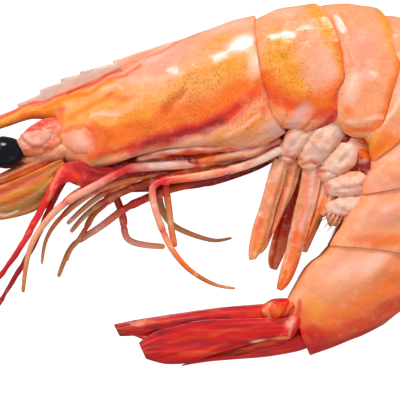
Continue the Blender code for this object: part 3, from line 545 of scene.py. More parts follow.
# Head: eyestalk, feelers and the scale that lies beside them
EYESTALK = ((80, 133, 1.2, 13, 1.6), (68, 134, 2.0, 17, 1.8), (53, 136, 2.9, 18.5, 2.0),
            (40, 140, 3.5, 16.5, 2.1),
            (30, 144, 3.7, 13, 1.9), (22, 147, 3.6, 9, 1.4))
EYESTALK_RELIEF = (
    ("line", -0.4, 1.6, ((34, 123), (44, 130), (58, 128))),
    ("line", 0.35, 2.2, ((24, 136), (34, 144), (50, 146), (62, 140))),
    ("line", -0.35, 1.4, ((26, 142), (38, 150), (54, 150))),
    ("line", -0.3, 1.3, ((26, 131), (38, 127), (50, 124))),
    ("line", 0.25, 2.5, ((28, 136), (42, 132), (56, 131))),
    ("line", -0.25, 1.2, ((28, 147), (42, 147), (52, 140), (56, 132))),
)
SCALE_EDGES = (((64, 158), (42, 168), (20, 178), (0, 186), (-18, 194), (-38, 205), (-50, 214)),
               ((68, 172), (58, 186), (46, 202), (30, 213), (0, 220), (-26, 220), (-50, 217)))
ANTENNULE = ((62, 146, 1.4, 8, 2.0), (50, 156, 1.6, 8, 2.0), (34, 165.5, 1.7, 7.5, 1.9),
             (12, 175.5, 1.6, 7, 1.7),
             (-10, 185, 1.4, 5.5, 1.2), (-24, 190, 1.2, 3.4, 0.8))
ANTENNULE_WHIPS = (
    ((-18, 188, 1.0, 2.4, 0.4), (-44, 192, 1.0, 2.0, 0.35), (-70, 194.5, 1.0, 1.5, 0.26),
     (-90, 192.5, 1.0, 0.9, 0.16)),
    ((-18, 190, 1.0, 2.4, 0.4), (-41, 202, 1.0, 2.0, 0.35), (-62, 214.5, 1.0, 1.5, 0.26),
     (-80, 229.5, 1.0, 0.9, 0.16)),
)
ANTENNULE_RELIEF = (
    ("line", -0.35, 1.2, ((58, 151), (41, 163), (16, 175), (-6, 185))),
    ("line", -0.25, 1.0, ((57, 157), (32, 170), (6, 181))),
)
ANTENNAE = {
    "left": ((118, 173, 3.8, 5, 0.6), (101, 175, 4.2, 10, 0.65), (85, 174, 4.4, 13.5, 0.7),
             (70, 172, 4.5, 11, 0.7),
             (59, 181, 4.6, 6, 0.66), (53, 191, 4.7, 4.4, 0.6), (45, 205, 4.7, 3.8, 0.5),
             (34, 226, 4.7, 3.4, 0.42), (20, 250, 4.7, 3.0, 0.36),
             (0, 278, 4.7, 2.4, 0.3), (-24, 308, 4.7, 2.0, 0.25), (-52, 338, 4.7, 1.5, 0.2),
             (-85, 366, 4.7, 0.9, 0.14)),
    "right": ((100, 172, 4.2, 4, 0.9), (84, 175, 4.6, 7, 1.1), (69, 172, 4.7, 6, 1.0),
              (58, 186, 4.7, 4.2, 0.62),
              (50, 205, 4.7, 3.6, 0.5), (40, 228, 4.7, 3.2, 0.42), (28, 253, 4.7, 2.9, 0.36),
              (12, 280, 4.7, 2.5, 0.3),
              (0, 300, 4.7, 2.2, 0.25), (-14, 328, 4.7, 1.6, 0.2), (-25, 358, 4.7, 1.2, 0.16),
              (-30.3, 384, 4.7, 0.8, 0.12)),
}
ANTENNA_RELIEF = (
    ("line", -0.3, 2.2, ((68, 167), (82, 175), (104, 177))),
    ("line", -0.2, 1.6, ((78, 162), (92, 167), (110, 170))),
)
ANTENNA_PAINT = (
    ("spot", "crimson", 0.95, (102, 177), (20, 7), 5),
    ("line", "crimson", 0.8, 2.4, ((70, 162), (84, 165), (104, 167))),
    ("line", "maroon", 0.6, 2, ((74, 184), (84, 182), (100, 183))),
    ("line", "crimson", 0.7, 1.6, ((72, 160), (78, 169), (96, 173))),
    ("line", "coral", 0.7, 2.4, ((66, 160), (69, 170), (80, 177))),
    ("line", "maroon", 0.6, 1.6, ((66, 180), (60, 192), (54, 204))),
    ("line", "peach", 0.5, 1.8, ((62, 168), (56, 184), (50, 198))),
    ("line", "crimson", 0.6, 4, ((20, 252), (0, 280), (-60, 345))),
    ("line", "maroon", 0.6, 5, ((30, 250), (0, 300), (-30, 380))),
)
HEAD_PAINT = (
    ("line", "coral", 0.9, 5, ((24, 134), (34, 128), (48, 121), (62, 119))),
    ("line", "orange", 0.6, 6, ((26, 158), (42, 152), (58, 144), (66, 132))),
    ("line", "rust", 0.55, 1.3, ((26, 152), (40, 148), (51, 140), (55, 131))),
    ("line", "shell_pink", 0.6, 2, ((48, 130), (56, 136), (62, 146))),
    ("spot", "scarlet", 0.7, (45, 123), (6, 3), 20),
    ("line", "rust", 0.6, 1.3, ((30, 133), (40, 129), (56, 129))),
    ("spot", "orange", 0.5, (58, 140), (7, 12), 0),
    ("line", "shell_pink", 0.8, 4, ((30, 138), (44, 138), (54, 134))),
    ("line", "grey_pink", 0.5, 1.4, ((20, 132), (30, 128), (40, 127))),
    ("spot", "amber", 0.5, (32, 158), (6, 5), 20),
    ("line", "rust", 0.75, 1.2, ((57, 137), (49, 148), (39, 157), (19, 168), (0, 176), (-14, 182))),
    ("line", "peach", 0.8, 3.2, ((60, 145), (46, 158), (30, 167), (10, 175.5), (-10, 183))),
    ("line", "scarlet", 0.85, 1.5, ((60, 153), (41, 164), (16, 176.5), (0, 183.5), (-16, 190))),
    ("line", "orange", 0.9, 2.4, ((60, 158), (32, 172), (10, 182), (-6, 189))),
    ("line", "rust", 0.8, 5, ((44, 176), (20, 186), (0, 193))),
    ("line", "olive", 0.75, 7, ((46, 190), (30, 203), (0, 210), (-30, 212))),
    ("line", "rust", 0.5, 4, ((30, 194), (10, 201), (-12, 205))),
    ("line", "amber", 0.5, 3, ((52, 178), (30, 190), (0, 200))),
    # Painted highlight along the lower edge of the antennal scale
    ("line", "cream", 0.85, 1.3, ((18, 211), (0, 215), (-20, 217))),
    ("spot", "olive", 0.6, (60, 176), (3, 8), 10),
)

MOUTH = ((66, 166, 7.2, 9, 2.4), (86, 171, 7.2, 14, 3.4), (116, 169, 7.2, 14, 4.4), (150, 163, 7.2, 14, 4.6),
         (190, 158, 7.2, 13, 4.8), (230, 153, 7.2, 11, 4.6), (266, 149, 7.2, 7, 3.8))
FACE = ((76, 148, 7.2, 13, 4.2), (62, 150, 7.2, 14, 4.6), (48, 153, 7.2, 12, 4.4), (35, 157, 7.2, 9, 4.0),
        (24, 160, 7.2, 6, 3.4))
BELLY = ((272, 148, 7.2, 8, 4.0), (294, 141, 7.2, 14, 4.4), (318, 136, 7.2, 16, 4.6),
         (342, 140, 7.2, 17, 4.8),
         (358, 155, 7.2, 16, 5.2), (368, 178, 7.2, 17, 5.4), (366, 202, 7.2, 16, 5.0),
         (356, 222, 7.2, 9, 3.6))
BELLY_FOLD = ((318, 138, 7.2, 12, 3.0), (334, 158, 7.2, 13, 3.4), (340, 180, 7.2, 13, 3.6),
              (345, 200, 7.2, 13, 3.4),
              (350, 214, 7.2, 8, 2.8))
BELLY_PAINT = (
    ("line", "peach", 0.95, 14, ((384, 170), (380, 190), (366, 222))),
    ("line", "coral", 0.5, 6, ((340, 180), (345, 200), (350, 212))),
    ("line", "crimson", 1.0, 7, ((340, 132), (350, 140))),
    ("line", "orange", 0.9, 6, ((356, 148), (366, 154))),
    ("spot", "crimson", 1.0, (362, 168), (13, 7), -8),
    ("line", "rust", 0.5, 4, ((272, 150), (290, 156), (300, 160))),
)
LEG_ROOTS = (
    ((266, 143, 11.2, 4, 1.0), (240, 147, 12.2, 5, 1.1), (205, 150, 12.6, 5, 1.1), (172, 152, 12.4, 4.6, 1.0),
     (140, 159, 11.6, 3.4, 0.8)),
    ((278, 142, 10.6, 4, 1.0), (258, 151, 11.5, 5.5, 1.2), (232, 156, 12.0, 5.5, 1.2),
     (206, 160, 12.0, 4.4, 1.0),
     (182, 163, 11.2, 3, 0.8)),
    ((278, 146, 9.6, 3.5, 1.0), (262, 157, 9.8, 5, 1.2), (236, 166, 10.0, 5.5, 1.2), (206, 172, 9.8, 5, 1.1),
     (170, 176, 9.4, 4, 0.9)),
)
MOUTH_PAINT = (
    ("line", "apricot", 1.0, 18, ((66, 146), (40, 148), (20, 152))),
    ("line", "coral", 0.7, 3, ((30, 152), (46, 148), (58, 140))),
    ("line", "rust", 0.5, 1.5, ((36, 158), (50, 152), (60, 146))),
    ("spot", "maroon", 0.6, (105, 172), (14, 4), 0),
    ("line", "scarlet", 0.7, 5, ((70, 176), (90, 184), (112, 182))),
    ("line", "blush", 0.95, 4, ((140, 160), (172, 152), (205, 150), (240, 147), (270, 142))),
    # Painted highlight: a thin pale line along the top of a leg root
    ("line", "bone", 0.8, 1.8, ((150, 154), (172, 150), (200, 148))),
    ("line", "coral", 0.85, 2.6, ((160, 156), (205, 153), (232, 151))),
    ("line", "peach", 0.9, 4, ((204, 161), (232, 156), (258, 150), (278, 142))),
    ("spot", "orange", 0.9, (206, 159), (12, 4), -8),
    # Painted highlight: a thin pale line along the top of a leg root
    ("line", "bone", 0.8, 1.8, ((228, 155), (256, 149), (274, 141))),
    ("line", "tan", 0.8, 3.6, ((170, 176), (206, 172), (236, 166), (262, 157))),
    ("line", "coral", 0.6, 1.6, ((176, 178), (206, 174), (240, 168))),
)

# Walking limbs: route, offsets of root and tip from the middle plane, joints, and colours from root to tip
LIMBS = {
    "left": {
        "maxilliped": (((185, 156), (165, 156), (140, 164), (115, 175), (90, 187), (70, 197), (58, 210)),
                       (3.3, 3.5), ((150, 160), (100, 183)), ("blush", "blush", "orange", "orange", "orange",
                                                              "tan")),
        "leg_1": (((205, 158), (170, 164), (140, 177), (120, 186), (100, 196), (82, 210), (67, 224)),
                  (0.9, 1.1), ((172, 164), (108, 192)), ("coral", "red", "orange", "tan", "tan")),
        "leg_2": (((225, 156), (190, 163), (160, 172), (130, 180), (105, 187), (85, 198), (60, 219),
                   (46, 240),
                   (42, 264)),
                  (2.1, 2.3), ((160, 172), (98, 190), (62, 217)),
                  ("orange", "blush", "orange", "apricot", "ochre",
                                                                   "tan")),
        "leg_3": (((248, 155), (230, 158), (210, 161), (188, 165), (138, 168), (125, 170), (100, 184),
                   (78, 196),
                   (60, 208), (46, 224), (34, 242), (27, 265), (25, 292)),
                  (4.5, 4.9), ((196, 163), (125, 169), (66, 203)),
                  ("blush", "orange", "bone", "bone", "scarlet", "blush", "blush", "apricot", "tan",
                   "ochre")),
        "leg_4": (((262, 155), (240, 158), (215, 164), (190, 170), (172, 176), (166, 186), (168, 205),
                   (172, 228),
                   (175, 247)),
                  (3.3, 3.3), ((216, 164), (166, 184)), ("tan", "cream", "orange", "coral", "rust", "tan",
                                                         "orange")),
        "leg_5": (((282, 149), (262, 159), (240, 168), (216, 174), (190, 178), (162, 182), (153, 188),
                   (155, 205),
                   (161, 226), (170, 247), (185, 267), (205, 279), (219, 285), (235, 288)),
                  (4.6, 5.0), ((226, 171), (160, 183), (163, 232)),
                  ("bone", "bone", "peach", "peach", "scarlet", "blush", "apricot", "orange", "ochre",
                   "tan")),
    },
    # The far-side limbs' roots are painted crimson: partly their own red, partly painted shade where they lie
    # under the body
    "right": {
        "maxilliped": (((186, 158), (165, 160), (140, 167), (115, 179), (92, 192), (74, 204), (61, 217)),
                       (3.3, 3.5), ((150, 164), (100, 187)), ("crimson", "crimson", "orange", "orange",
                                                              "tan")),
        "leg_1": (((206, 158), (175, 170), (145, 183), (118, 193), (98, 205), (82, 219), (70, 233)),
                  (0.9, 1.1), ((160, 176), (104, 201)), ("crimson", "red", "rust", "tan", "tan")),
        "leg_2": (((226, 156), (190, 170), (155, 182), (125, 191), (106, 203), (92, 215), (86, 228),
                   (78, 240),
                   (70, 250), (66, 262)),
                  (2.1, 2.3), ((150, 184), (106, 203), (86, 228)),
                  ("crimson", "crimson", "scarlet", "rust", "ochre", "tan")),
        "leg_3": (((246, 155), (220, 170), (197, 180), (167, 188), (149, 198), (126, 207), (106, 222),
                   (90, 233),
                   (75, 242), (65, 256), (58, 278)),
                  (4.5, 3.0), ((178, 185), (128, 206), (76, 241)),
                  ("crimson", "crimson", "scarlet", "red", "coral", "blush", "ochre", "tan")),
        "leg_4": (((268, 153), (250, 165), (220, 178), (185, 186), (161, 193), (160, 204), (167, 222),
                   (185, 233),
                   (206, 239), (218, 241), (232, 238)),
                  (3.3, 3.3), ((220, 178), (160, 196)), ("crimson", "crimson", "coral", "olive", "tan",
                                                         "olive")),
        "leg_5": (((284, 150), (262, 164), (236, 175), (205, 184), (160, 188), (124, 188), (114, 193),
                   (119, 205),
                   (122, 220), (124, 236), (132, 243), (147, 246), (165, 247)),
                  (4.6, 5.7), ((205, 184), (116, 191), (123, 226)),
                  ("rust", "crimson", "red", "coral", "crimson", "crimson", "coral", "blush", "peach")),
    },
}
LIMB_PAINT = {
    "left": (
        ("spot", "coral", 0.8, (205, 162), (11, 4), -5),
        ("spot", "blush", 0.7, (182, 165), (8, 4), 0),
        ("spot", "lilac", 0.6, (160, 166), (9, 3), 0),
        ("spot", "coral", 0.5, (144, 168), (5, 3), 0),
        ("spot", "blush", 0.7, (228, 170), (9, 4), -15),
        ("spot", "coral", 0.5, (248, 164), (7, 3), -25),
        ("spot", "lilac", 0.6, (202, 177), (10, 3), -10),
        ("spot", "orange", 0.5, (180, 180), (8, 3), -8),
        ("line", "coral", 0.45, 1.2, ((240, 170), (216, 176), (190, 180), (166, 184))),
        ("line", "coral", 0.45, 1.2, ((186, 167), (160, 169), (132, 171))),
        ("spot", "scarlet", 0.85, (125, 169), (12, 5), 10),
        ("spot", "scarlet", 0.8, (165, 182), (9, 5), 10),
    ),
    "right": (
        # Painted shade: a crimson band where the far-side legs lie in the body's shadow, over their own red
        ("line", "crimson", 0.85, 4, ((271, 158), (240, 174), (194, 187))),
        ("spot", "scarlet", 0.8, (138, 202), (12, 4), 20),
    ),
}


def linear(name):
    """A named colour as the shader takes it, enriched because the wet surface's shine pales it."""
    share = np.array(COLOURS[name]) / 255
    light = np.where(share <= 0.04045, share / 12.92, ((share + 0.055) / 1.055) ** 2.4)
    return light.max() * (light / light.max()) ** RICHNESS * DEPTH


def at(pixel):
    """A pixel of the photograph as a place on the shrimp, in metres."""
    return np.array(((pixel[0] - PHOTO_CENTRE[0]) * PIXEL + MIDDLE[0],
                     (PHOTO_CENTRE[1] - pixel[1]) * PIXEL + MIDDLE[1]))


def vertex_places(piece):
    places = np.empty(len(piece.data.vertices) * 3)
    piece.data.vertices.foreach_get("co", places)
    return places.reshape(-1, 3)


def set_places(piece, places):
    """Moves a piece's points to the given places, and none of them below the surface it lies on."""
    places[:, 2] = np.maximum(places[:, 2], 0.0)
    piece.data.vertices.foreach_set("co", places.ravel())
    piece.data.update()


def vertex_normals(piece):
    normals = np.empty(len(piece.data.vertices) * 3)
    piece.data.vertices.foreach_get("normal", normals)
    return normals.reshape(-1, 3)


def line_distance(flat, points):
    """Distance of each place, seen from above, to a line of joined points."""
    route = [at(point) for point in points]
    nearest = np.full(len(flat), np.inf)
    for start, end in zip(route, route[1:]):
        along = end - start
        share = np.clip((flat - start) @ along / (along @ along), 0, 1)
        nearest = np.minimum(nearest, np.linalg.norm(flat - start - share[:, None] * along, axis=1))
    return nearest


def spot_distance(flat, centre, radii, tilt):
    """Distance of each place to a spot's centre, 1 at its rim."""
    turn = radians(-tilt)
    across = flat - at(centre)
    right = across @ np.array((np.cos(turn), np.sin(turn)))
    up = across @ np.array((-np.sin(turn), np.cos(turn)))
    return np.hypot(right / (radii[0] * PIXEL), up / (radii[1] * PIXEL))


def shape_weight(flat, kind, *shape):
    """How much of a spot or a line reaches each place, from 0 to 1."""
    if kind == "spot":
        distance = spot_distance(flat, *shape)
    else:
        half_width, points = shape
        distance = line_distance(flat, points) / (half_width * PIXEL)
    return np.exp(-distance ** 3)


def waver(flat, size):
    """Places shifted by a smooth wave, so that painted edges aren't ruler straight."""
    x, y = (flat / PIXEL).T
    shift = np.column_stack((np.sin(y / 7.1 + np.sin(x / 11.3)) + 0.5 * np.sin(y / 2.9 + x / 4.3),
                             np.sin(x / 6.3 + np.sin(y / 9.7)) + 0.5 * np.sin(x / 3.1 - y / 3.7)))
    return flat + shift * size * PIXEL


def overlay(colour, flat, patches):
    """Lays patches over a colour for each place."""
    for kind, name, strength, *shape in patches:
        weight = (strength * shape_weight(flat, kind, *shape))[:, None]
        colour = colour * (1 - weight) + linear(name) * weight
    return colour


def set_tint(piece, colour, dots=1.0):
    """Keeps a colour for each point, and in its fourth number how thick the dark dots are there."""
    richness = 1 - colour[:, 2] / colour[:, 0]
    dotted = np.clip((richness - 0.62) / 0.32, 0.12, 1) * dots
    tint = piece.data.attributes.new("tint", "FLOAT_COLOR", "POINT")
    tint.data.foreach_set("color", np.column_stack((colour, dotted)).ravel())


def paint(piece, base, patches, dots=1.0):
    """Colours a piece's points from a base colour and patches laid over it in turn."""
    places = vertex_places(piece)
    colour = np.tile(linear(base), (len(places), 1))
    set_tint(piece, overlay(colour, waver(places[:, :2], EDGE_WAVER), patches), dots)


def press(piece, reliefs):
    """Moves a piece's points along their normals, by reliefs whose heights are in millimetres."""
    places = vertex_places(piece)
    normals = vertex_normals(piece)
    facing = np.clip((np.abs(normals[:, 2]) - FACING_START) / FACING_RAMP, 0, 1)
    for kind, height, *shape in reliefs:
        amount = height * MM * facing * shape_weight(places[:, :2], kind, *shape)
        places += normals * amount[:, None]
    set_places(piece, places)


def uneven(piece, height, size):
    """Gives a piece soft uneven swellings, of a height and about a size in millimetres."""
    places = vertex_places(piece)
    chance = np.random.default_rng(WAVE_SEED)
    swelling = np.zeros(len(places))
    for _ in range(WAVES):
        way = chance.normal(size=3)
        way /= np.linalg.norm(way)
        step = 2 * np.pi / (size * MM * chance.uniform(0.7, 1.6))
        swelling += np.sin(places @ way * step + chance.uniform(0, 2 * np.pi))
    places += vertex_normals(piece) * (swelling * height * MM / np.sqrt(WAVES))[:, None]
    set_places(piece, places)


def nudge(piece, shifts):
    """Moves a piece's points sideways, by shifts whose reach to the right is in pixels."""
    places = vertex_places(piece)
    moved = sum(reach * shape_weight(places[:, :2], kind, *shape) for kind, reach, *shape in shifts)
    places[:, 0] += moved * PIXEL
    set_places(piece, places)


def merge(piece, grain, passes):
    """Makes one skin over a piece's overlapping bodies, at a grain in millimetres, and softens it."""
    bpy.context.view_layer.objects.active = piece
    remesh = piece.modifiers.new("merge", "REMESH")
    remesh.mode = "VOXEL"
    remesh.voxel_size = grain * MM
    bpy.ops.object.modifier_apply(modifier=remesh.name)
    soften = piece.modifiers.new("soften", "SMOOTH")
    soften.factor = 0.5
    soften.iterations = passes
    bpy.ops.object.modifier_apply(modifier=soften.name)
    bpy.ops.object.shade_smooth()


def take_solid(name, node):
    """A new piece from a copy of a node's solid, alone selected."""
    bpy.ops.object.select_all(action="DESELECT")
    piece = bpy.data.objects.new(name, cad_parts[node].data.copy())
    bpy.context.scene.collection.objects.link(piece)
    bpy.context.view_layer.objects.active = piece
    piece.select_set(True)
    bpy.ops.mesh.customdata_custom_splitnormals_clear()
    bpy.ops.object.mode_set(mode="EDIT")
    bpy.ops.mesh.select_mode(type="FACE")
    bpy.ops.mesh.select_all(action="SELECT")
    bpy.ops.mesh.remove_doubles(threshold=0.001 * MM)
    bpy.ops.object.mode_set(mode="OBJECT")
    return piece


def make_quads():
    bpy.ops.object.mode_set(mode="EDIT")
    bpy.ops.mesh.select_all(action="SELECT")
    bpy.ops.mesh.tris_convert_to_quads(face_threshold=1.0, shape_threshold=1.6)
    bpy.ops.object.mode_set(mode="OBJECT")


def round_rims(width):
    """Bevels the sharp edges of the selected piece."""
    bpy.ops.object.mode_set(mode="EDIT")
    bpy.ops.mesh.select_mode(type="EDGE")
    bpy.ops.mesh.select_all(action="DESELECT")
    bpy.ops.mesh.edges_select_sharp(sharpness=SHARP_EDGE)
    bpy.ops.mesh.bevel(offset=width, segments=2, affect="EDGES")
    bpy.ops.object.mode_set(mode="OBJECT")


def smooth(piece, levels):
    """Subdivides the selected piece, shades it smooth, and keeps it above the surface that it lies on."""
    modifier = piece.modifiers.new("smooth", "SUBSURF")
    modifier.levels = levels
    modifier.render_levels = levels
    bpy.ops.object.modifier_apply(modifier=modifier.name)
    bpy.ops.object.shade_smooth()
    set_places(piece, vertex_places(piece))


def fit_segment(piece, ahead, reach, narrowing, rim):
    """Slides a segment's front end under the shell ahead of it, and rounds the rim of its rear end."""
    low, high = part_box(ahead)
    goal = (low + high) / 2
    mesh = bmesh.new()
    mesh.from_mesh(piece.data)
    hubs = sorted((point for point in mesh.verts if len(point.link_edges) > HUB_SPOKES),
                  key=lambda point: (point.co - goal).length)
    front, rear = hubs[0], hubs[-1]
    forward = sum((face.normal * face.calc_area() for face in front.link_faces), Vector()).normalized()
    middle = front.co.copy()
    for point in [front] + [edge.other_vert(front) for edge in front.link_edges]:
        point.co = middle + (point.co - middle) * narrowing + forward * reach
    for edge in mesh.edges:
        edge.select = False
    for face in rear.link_faces:
        for edge in face.edges:
            edge.select = rear not in edge.verts
    mesh.to_mesh(piece.data)
    mesh.free()
    bpy.ops.object.mode_set(mode="EDIT")
    bpy.ops.mesh.select_mode(type="EDGE")
    bpy.ops.mesh.bevel(offset=rim, segments=2, affect="EDGES")
    bpy.ops.mesh.select_all(action="SELECT")
    bpy.ops.mesh.tris_convert_to_quads(face_threshold=1.0, shape_threshold=1.6)
    bpy.ops.object.mode_set(mode="OBJECT")


def dress(piece, nodes, material):
    piece.data.materials.clear()
    piece.data.materials.append(material)
    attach(piece, "root")
    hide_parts(*nodes)


def new_group(name, inputs, outputs):
    """An empty node group with named sockets, and its input and output nodes."""
    group = bpy.data.node_groups.new(name, "ShaderNodeTree")
    for direction, sockets in (("INPUT", inputs), ("OUTPUT", outputs)):
        for socket_name, kind, default in sockets:
            socket = group.interface.new_socket(name=socket_name, in_out=direction,
                                                socket_type="NodeSocket" + kind)
            if default is not None:
                socket.default_value = default
    return group, group.nodes.new("NodeGroupInput"), group.nodes.new("NodeGroupOutput")


def add_node(tree, kind, **settings):
    node = tree.nodes.new("ShaderNode" + kind)
    for key, value in settings.items():
        setattr(node, key, value)
    return node


def feed(tree, socket, value):
    """Gives an input a number or a colour of its own, or links an output to it."""
    if isinstance(value, (int, float)):
        socket.default_value = value
    elif isinstance(value, tuple):
        socket.default_value = (*value, 1.0)
    else:
        tree.links.new(value, socket)


def calculate(tree, operation, *values):
    """The result of a Math node over numbers and outputs."""
    node = add_node(tree, "Math", operation=operation)
    for socket, value in zip(node.inputs, values):
        feed(tree, socket, value)
    return node.outputs[0]


def ramp_between(tree, value, low, high, start, end):
    """Maps a value from the range low to high onto start to end."""
    node = add_node(tree, "MapRange", interpolation_type="SMOOTHSTEP")
    sockets = ("Value", "From Min", "From Max", "To Min", "To Max")
    for socket, number in zip(sockets, (value, low, high, start, end)):
        feed(tree, node.inputs[socket], number)
    return node.outputs["Result"]


def mix_colours(tree, factor, first, second):
    node = add_node(tree, "Mix", data_type="RGBA", blend_type="MIX")
    for socket, value in ((node.inputs[0], factor), (node.inputs[6], first), (node.inputs[7], second)):
        feed(tree, socket, value)
    return node.outputs[2]


def make_speckles():
    """Fine dark dots, uneven in size and strength."""
    group, start, end = new_group("speckles", (
        ("Color", "Color", None), ("Vector", "Vector", None), ("Scale", "Float", 1800.0),
        ("Size", "Float", 0.2), ("Strength", "Float", 0.6), ("Dot Color", "Color", (0.24, 0.05, 0.004, 1.0)),
    ), (("Color", "Color", None),))
    links = group.links
    cells = add_node(group, "TexVoronoi")
    patches = add_node(group, "TexNoise")
    patches.inputs["Scale"].default_value = 260.0
    links.new(start.outputs["Vector"], cells.inputs["Vector"])
    links.new(start.outputs["Vector"], patches.inputs["Vector"])
    links.new(start.outputs["Scale"], cells.inputs["Scale"])
    tone = add_node(group, "SeparateColor")
    links.new(cells.outputs["Color"], tone.inputs[0])
    uneven_size = ramp_between(group, tone.outputs[0], 0.0, 1.0, 0.55, 1.35)
    size = calculate(group, "MULTIPLY", start.outputs["Size"], uneven_size)
    dot = ramp_between(group, cells.outputs["Distance"], 0.0, size, 1.0, 0.0)
    thickness = ramp_between(group, patches.outputs["Fac"], 0.34, 0.58, 0.45, 1.0)
    spread = calculate(group, "MULTIPLY", dot, thickness)
    factor = calculate(group, "MULTIPLY", spread, start.outputs["Strength"])
    dotted = mix_colours(group, factor, start.outputs["Color"], start.outputs["Dot Color"])
    links.new(dotted, end.inputs["Color"])
    return group


def make_mottle():
    """Cloudy lighter and darker patches."""
    group, start, end = new_group("mottle", (
        ("Color", "Color", None), ("Vector", "Vector", None), ("Scale", "Float", 400.0),
        ("Light", "Float", 0.25), ("Deep", "Float", 0.3),
        ("Light Color", "Color", (1.0, 0.78, 0.62, 1.0)), ("Deep Color", "Color", (0.86, 0.2, 0.04, 1.0)),
    ), (("Color", "Color", None),))
    links = group.links
    clouds = add_node(group, "TexNoise")
    clouds.inputs["Detail"].default_value = 5.0
    clouds.inputs["Roughness"].default_value = 0.62
    links.new(start.outputs["Vector"], clouds.inputs["Vector"])
    links.new(start.outputs["Scale"], clouds.inputs["Scale"])
    high = ramp_between(group, clouds.outputs["Fac"], 0.52, 0.7, 0.0, 1.0)
    low = ramp_between(group, clouds.outputs["Fac"], 0.3, 0.48, 1.0, 0.0)
    pale = calculate(group, "MULTIPLY", high, start.outputs["Light"])
    deep = calculate(group, "MULTIPLY", low, start.outputs["Deep"])
    lighter = mix_colours(group, pale, start.outputs["Color"], start.outputs["Light Color"])
    links.new(mix_colours(group, deep, lighter, start.outputs["Deep Color"]), end.inputs["Color"])
    return group


def make_wet_relief():
    """Height of fine pores, wrinkles and broad waves, and how gloss varies over them."""
    group, start, end = new_group("wet_relief", (
        ("Vector", "Vector", None), ("Scale", "Float", 900.0), ("Gloss", "Float", 0.3),
    ), (("Height", "Float", None), ("Roughness", "Float", None)))
    links = group.links
    wrinkles = add_node(group, "TexNoise")
    wrinkles.inputs["Detail"].default_value = 6.0
    pores = add_node(group, "TexVoronoi")
    waves = add_node(group, "TexNoise")
    waves.inputs["Scale"].default_value = 210.0
    waves.inputs["Detail"].default_value = 2.0
    for texture in (wrinkles, pores, waves):
        links.new(start.outputs["Vector"], texture.inputs["Vector"])
    links.new(start.outputs["Scale"], wrinkles.inputs["Scale"])
    links.new(calculate(group, "MULTIPLY", start.outputs["Scale"], 2.6), pores.inputs["Scale"])
    fine = calculate(group, "MULTIPLY_ADD", pores.outputs["Distance"], 0.3, wrinkles.outputs["Fac"])
    links.new(calculate(group, "MULTIPLY_ADD", waves.outputs["Fac"], 9.0, fine), end.inputs["Height"])
    patchy = ramp_between(group, wrinkles.outputs["Fac"], 0.3, 0.7, 0.7, 1.35)
    links.new(calculate(group, "MULTIPLY", patchy, start.outputs["Gloss"]), end.inputs["Roughness"])
    return group


GROUPS = {"speckles": make_speckles(), "mottle": make_mottle(), "wet_relief": make_wet_relief()}


def place_group(tree, name, **values):
    node = add_node(tree, "Group", node_tree=GROUPS[name])
    for socket, value in values.items():
        feed(tree, node.inputs[socket.replace("_", " ")], value)
    return node


def new_surface(name):
    """A new material, its nodes and its shader."""
    material = bpy.data.materials.new(name)
    material.use_nodes = True
    tree = material.node_tree
    return material, tree, tree.nodes["Principled BSDF"]


def add_wet_relief(tree, shader, vector, scale, gloss, strength, depth):
    """Gives a surface fine relief, of a depth in millimetres, and an uneven gloss."""
    wet = place_group(tree, "wet_relief", Vector=vector, Scale=scale, Gloss=gloss)
    bump = add_node(tree, "Bump")
    bump.inputs["Strength"].default_value = strength
    bump.inputs["Distance"].default_value = depth * MM
    tree.links.new(wet.outputs["Height"], bump.inputs["Height"])
    tree.links.new(bump.outputs["Normal"], shader.inputs["Normal"])
    tree.links.new(wet.outputs["Roughness"], shader.inputs["Roughness"])


def make_skin(name, roughness=0.36, coat=0.22, subsurface=0.12, mottle=(420.0, 0.2, 0.22), dots=None,
              stretch=(1.0, 1.0, 1.0), turn=0.0, relief=(900.0, 0.4), deep=(0.86, 0.2, 0.04),
              pale=(1.0, 0.7, 0.5)):
    """A moist shell or skin over the painted tint. dots are their scale, size and strength, mottle is its
    scale and the strengths of its pale and deep patches, and relief is its scale and strength."""
    material, tree, shader = new_surface(name)
    place = add_node(tree, "TexCoord").outputs["Object"]
    mapping = add_node(tree, "Mapping")
    mapping.inputs["Scale"].default_value = stretch
    mapping.inputs["Rotation"].default_value = (0.0, 0.0, radians(turn))
    tree.links.new(place, mapping.inputs["Vector"])
    painted = add_node(tree, "Attribute", attribute_name="tint")
    clouds = place_group(tree, "mottle", Color=painted.outputs["Color"], Vector=mapping.outputs["Vector"],
                         Scale=mottle[0], Light=mottle[1], Deep=mottle[2], Deep_Color=deep, Light_Color=pale)
    colour = clouds.outputs["Color"]
    if dots:
        amount = calculate(tree, "MULTIPLY", painted.outputs["Alpha"], dots[2])
        colour = place_group(tree, "speckles", Color=colour, Vector=place, Scale=dots[0], Size=dots[1],
                             Strength=amount).outputs["Color"]
    tree.links.new(colour, shader.inputs["Base Color"])
    add_wet_relief(tree, shader, mapping.outputs["Vector"], relief[0], roughness, relief[1], 0.2)
    shader.inputs["Coat Weight"].default_value = coat
    shader.inputs["Coat Roughness"].default_value = 0.14
    shader.inputs["Specular IOR Level"].default_value = 0.28
    shader.inputs["Subsurface Weight"].default_value = subsurface
    shader.inputs["Subsurface Radius"].default_value = (1.0, 0.35, 0.2)
    shader.inputs["Subsurface Scale"].default_value = 1.2 * MM
    return material


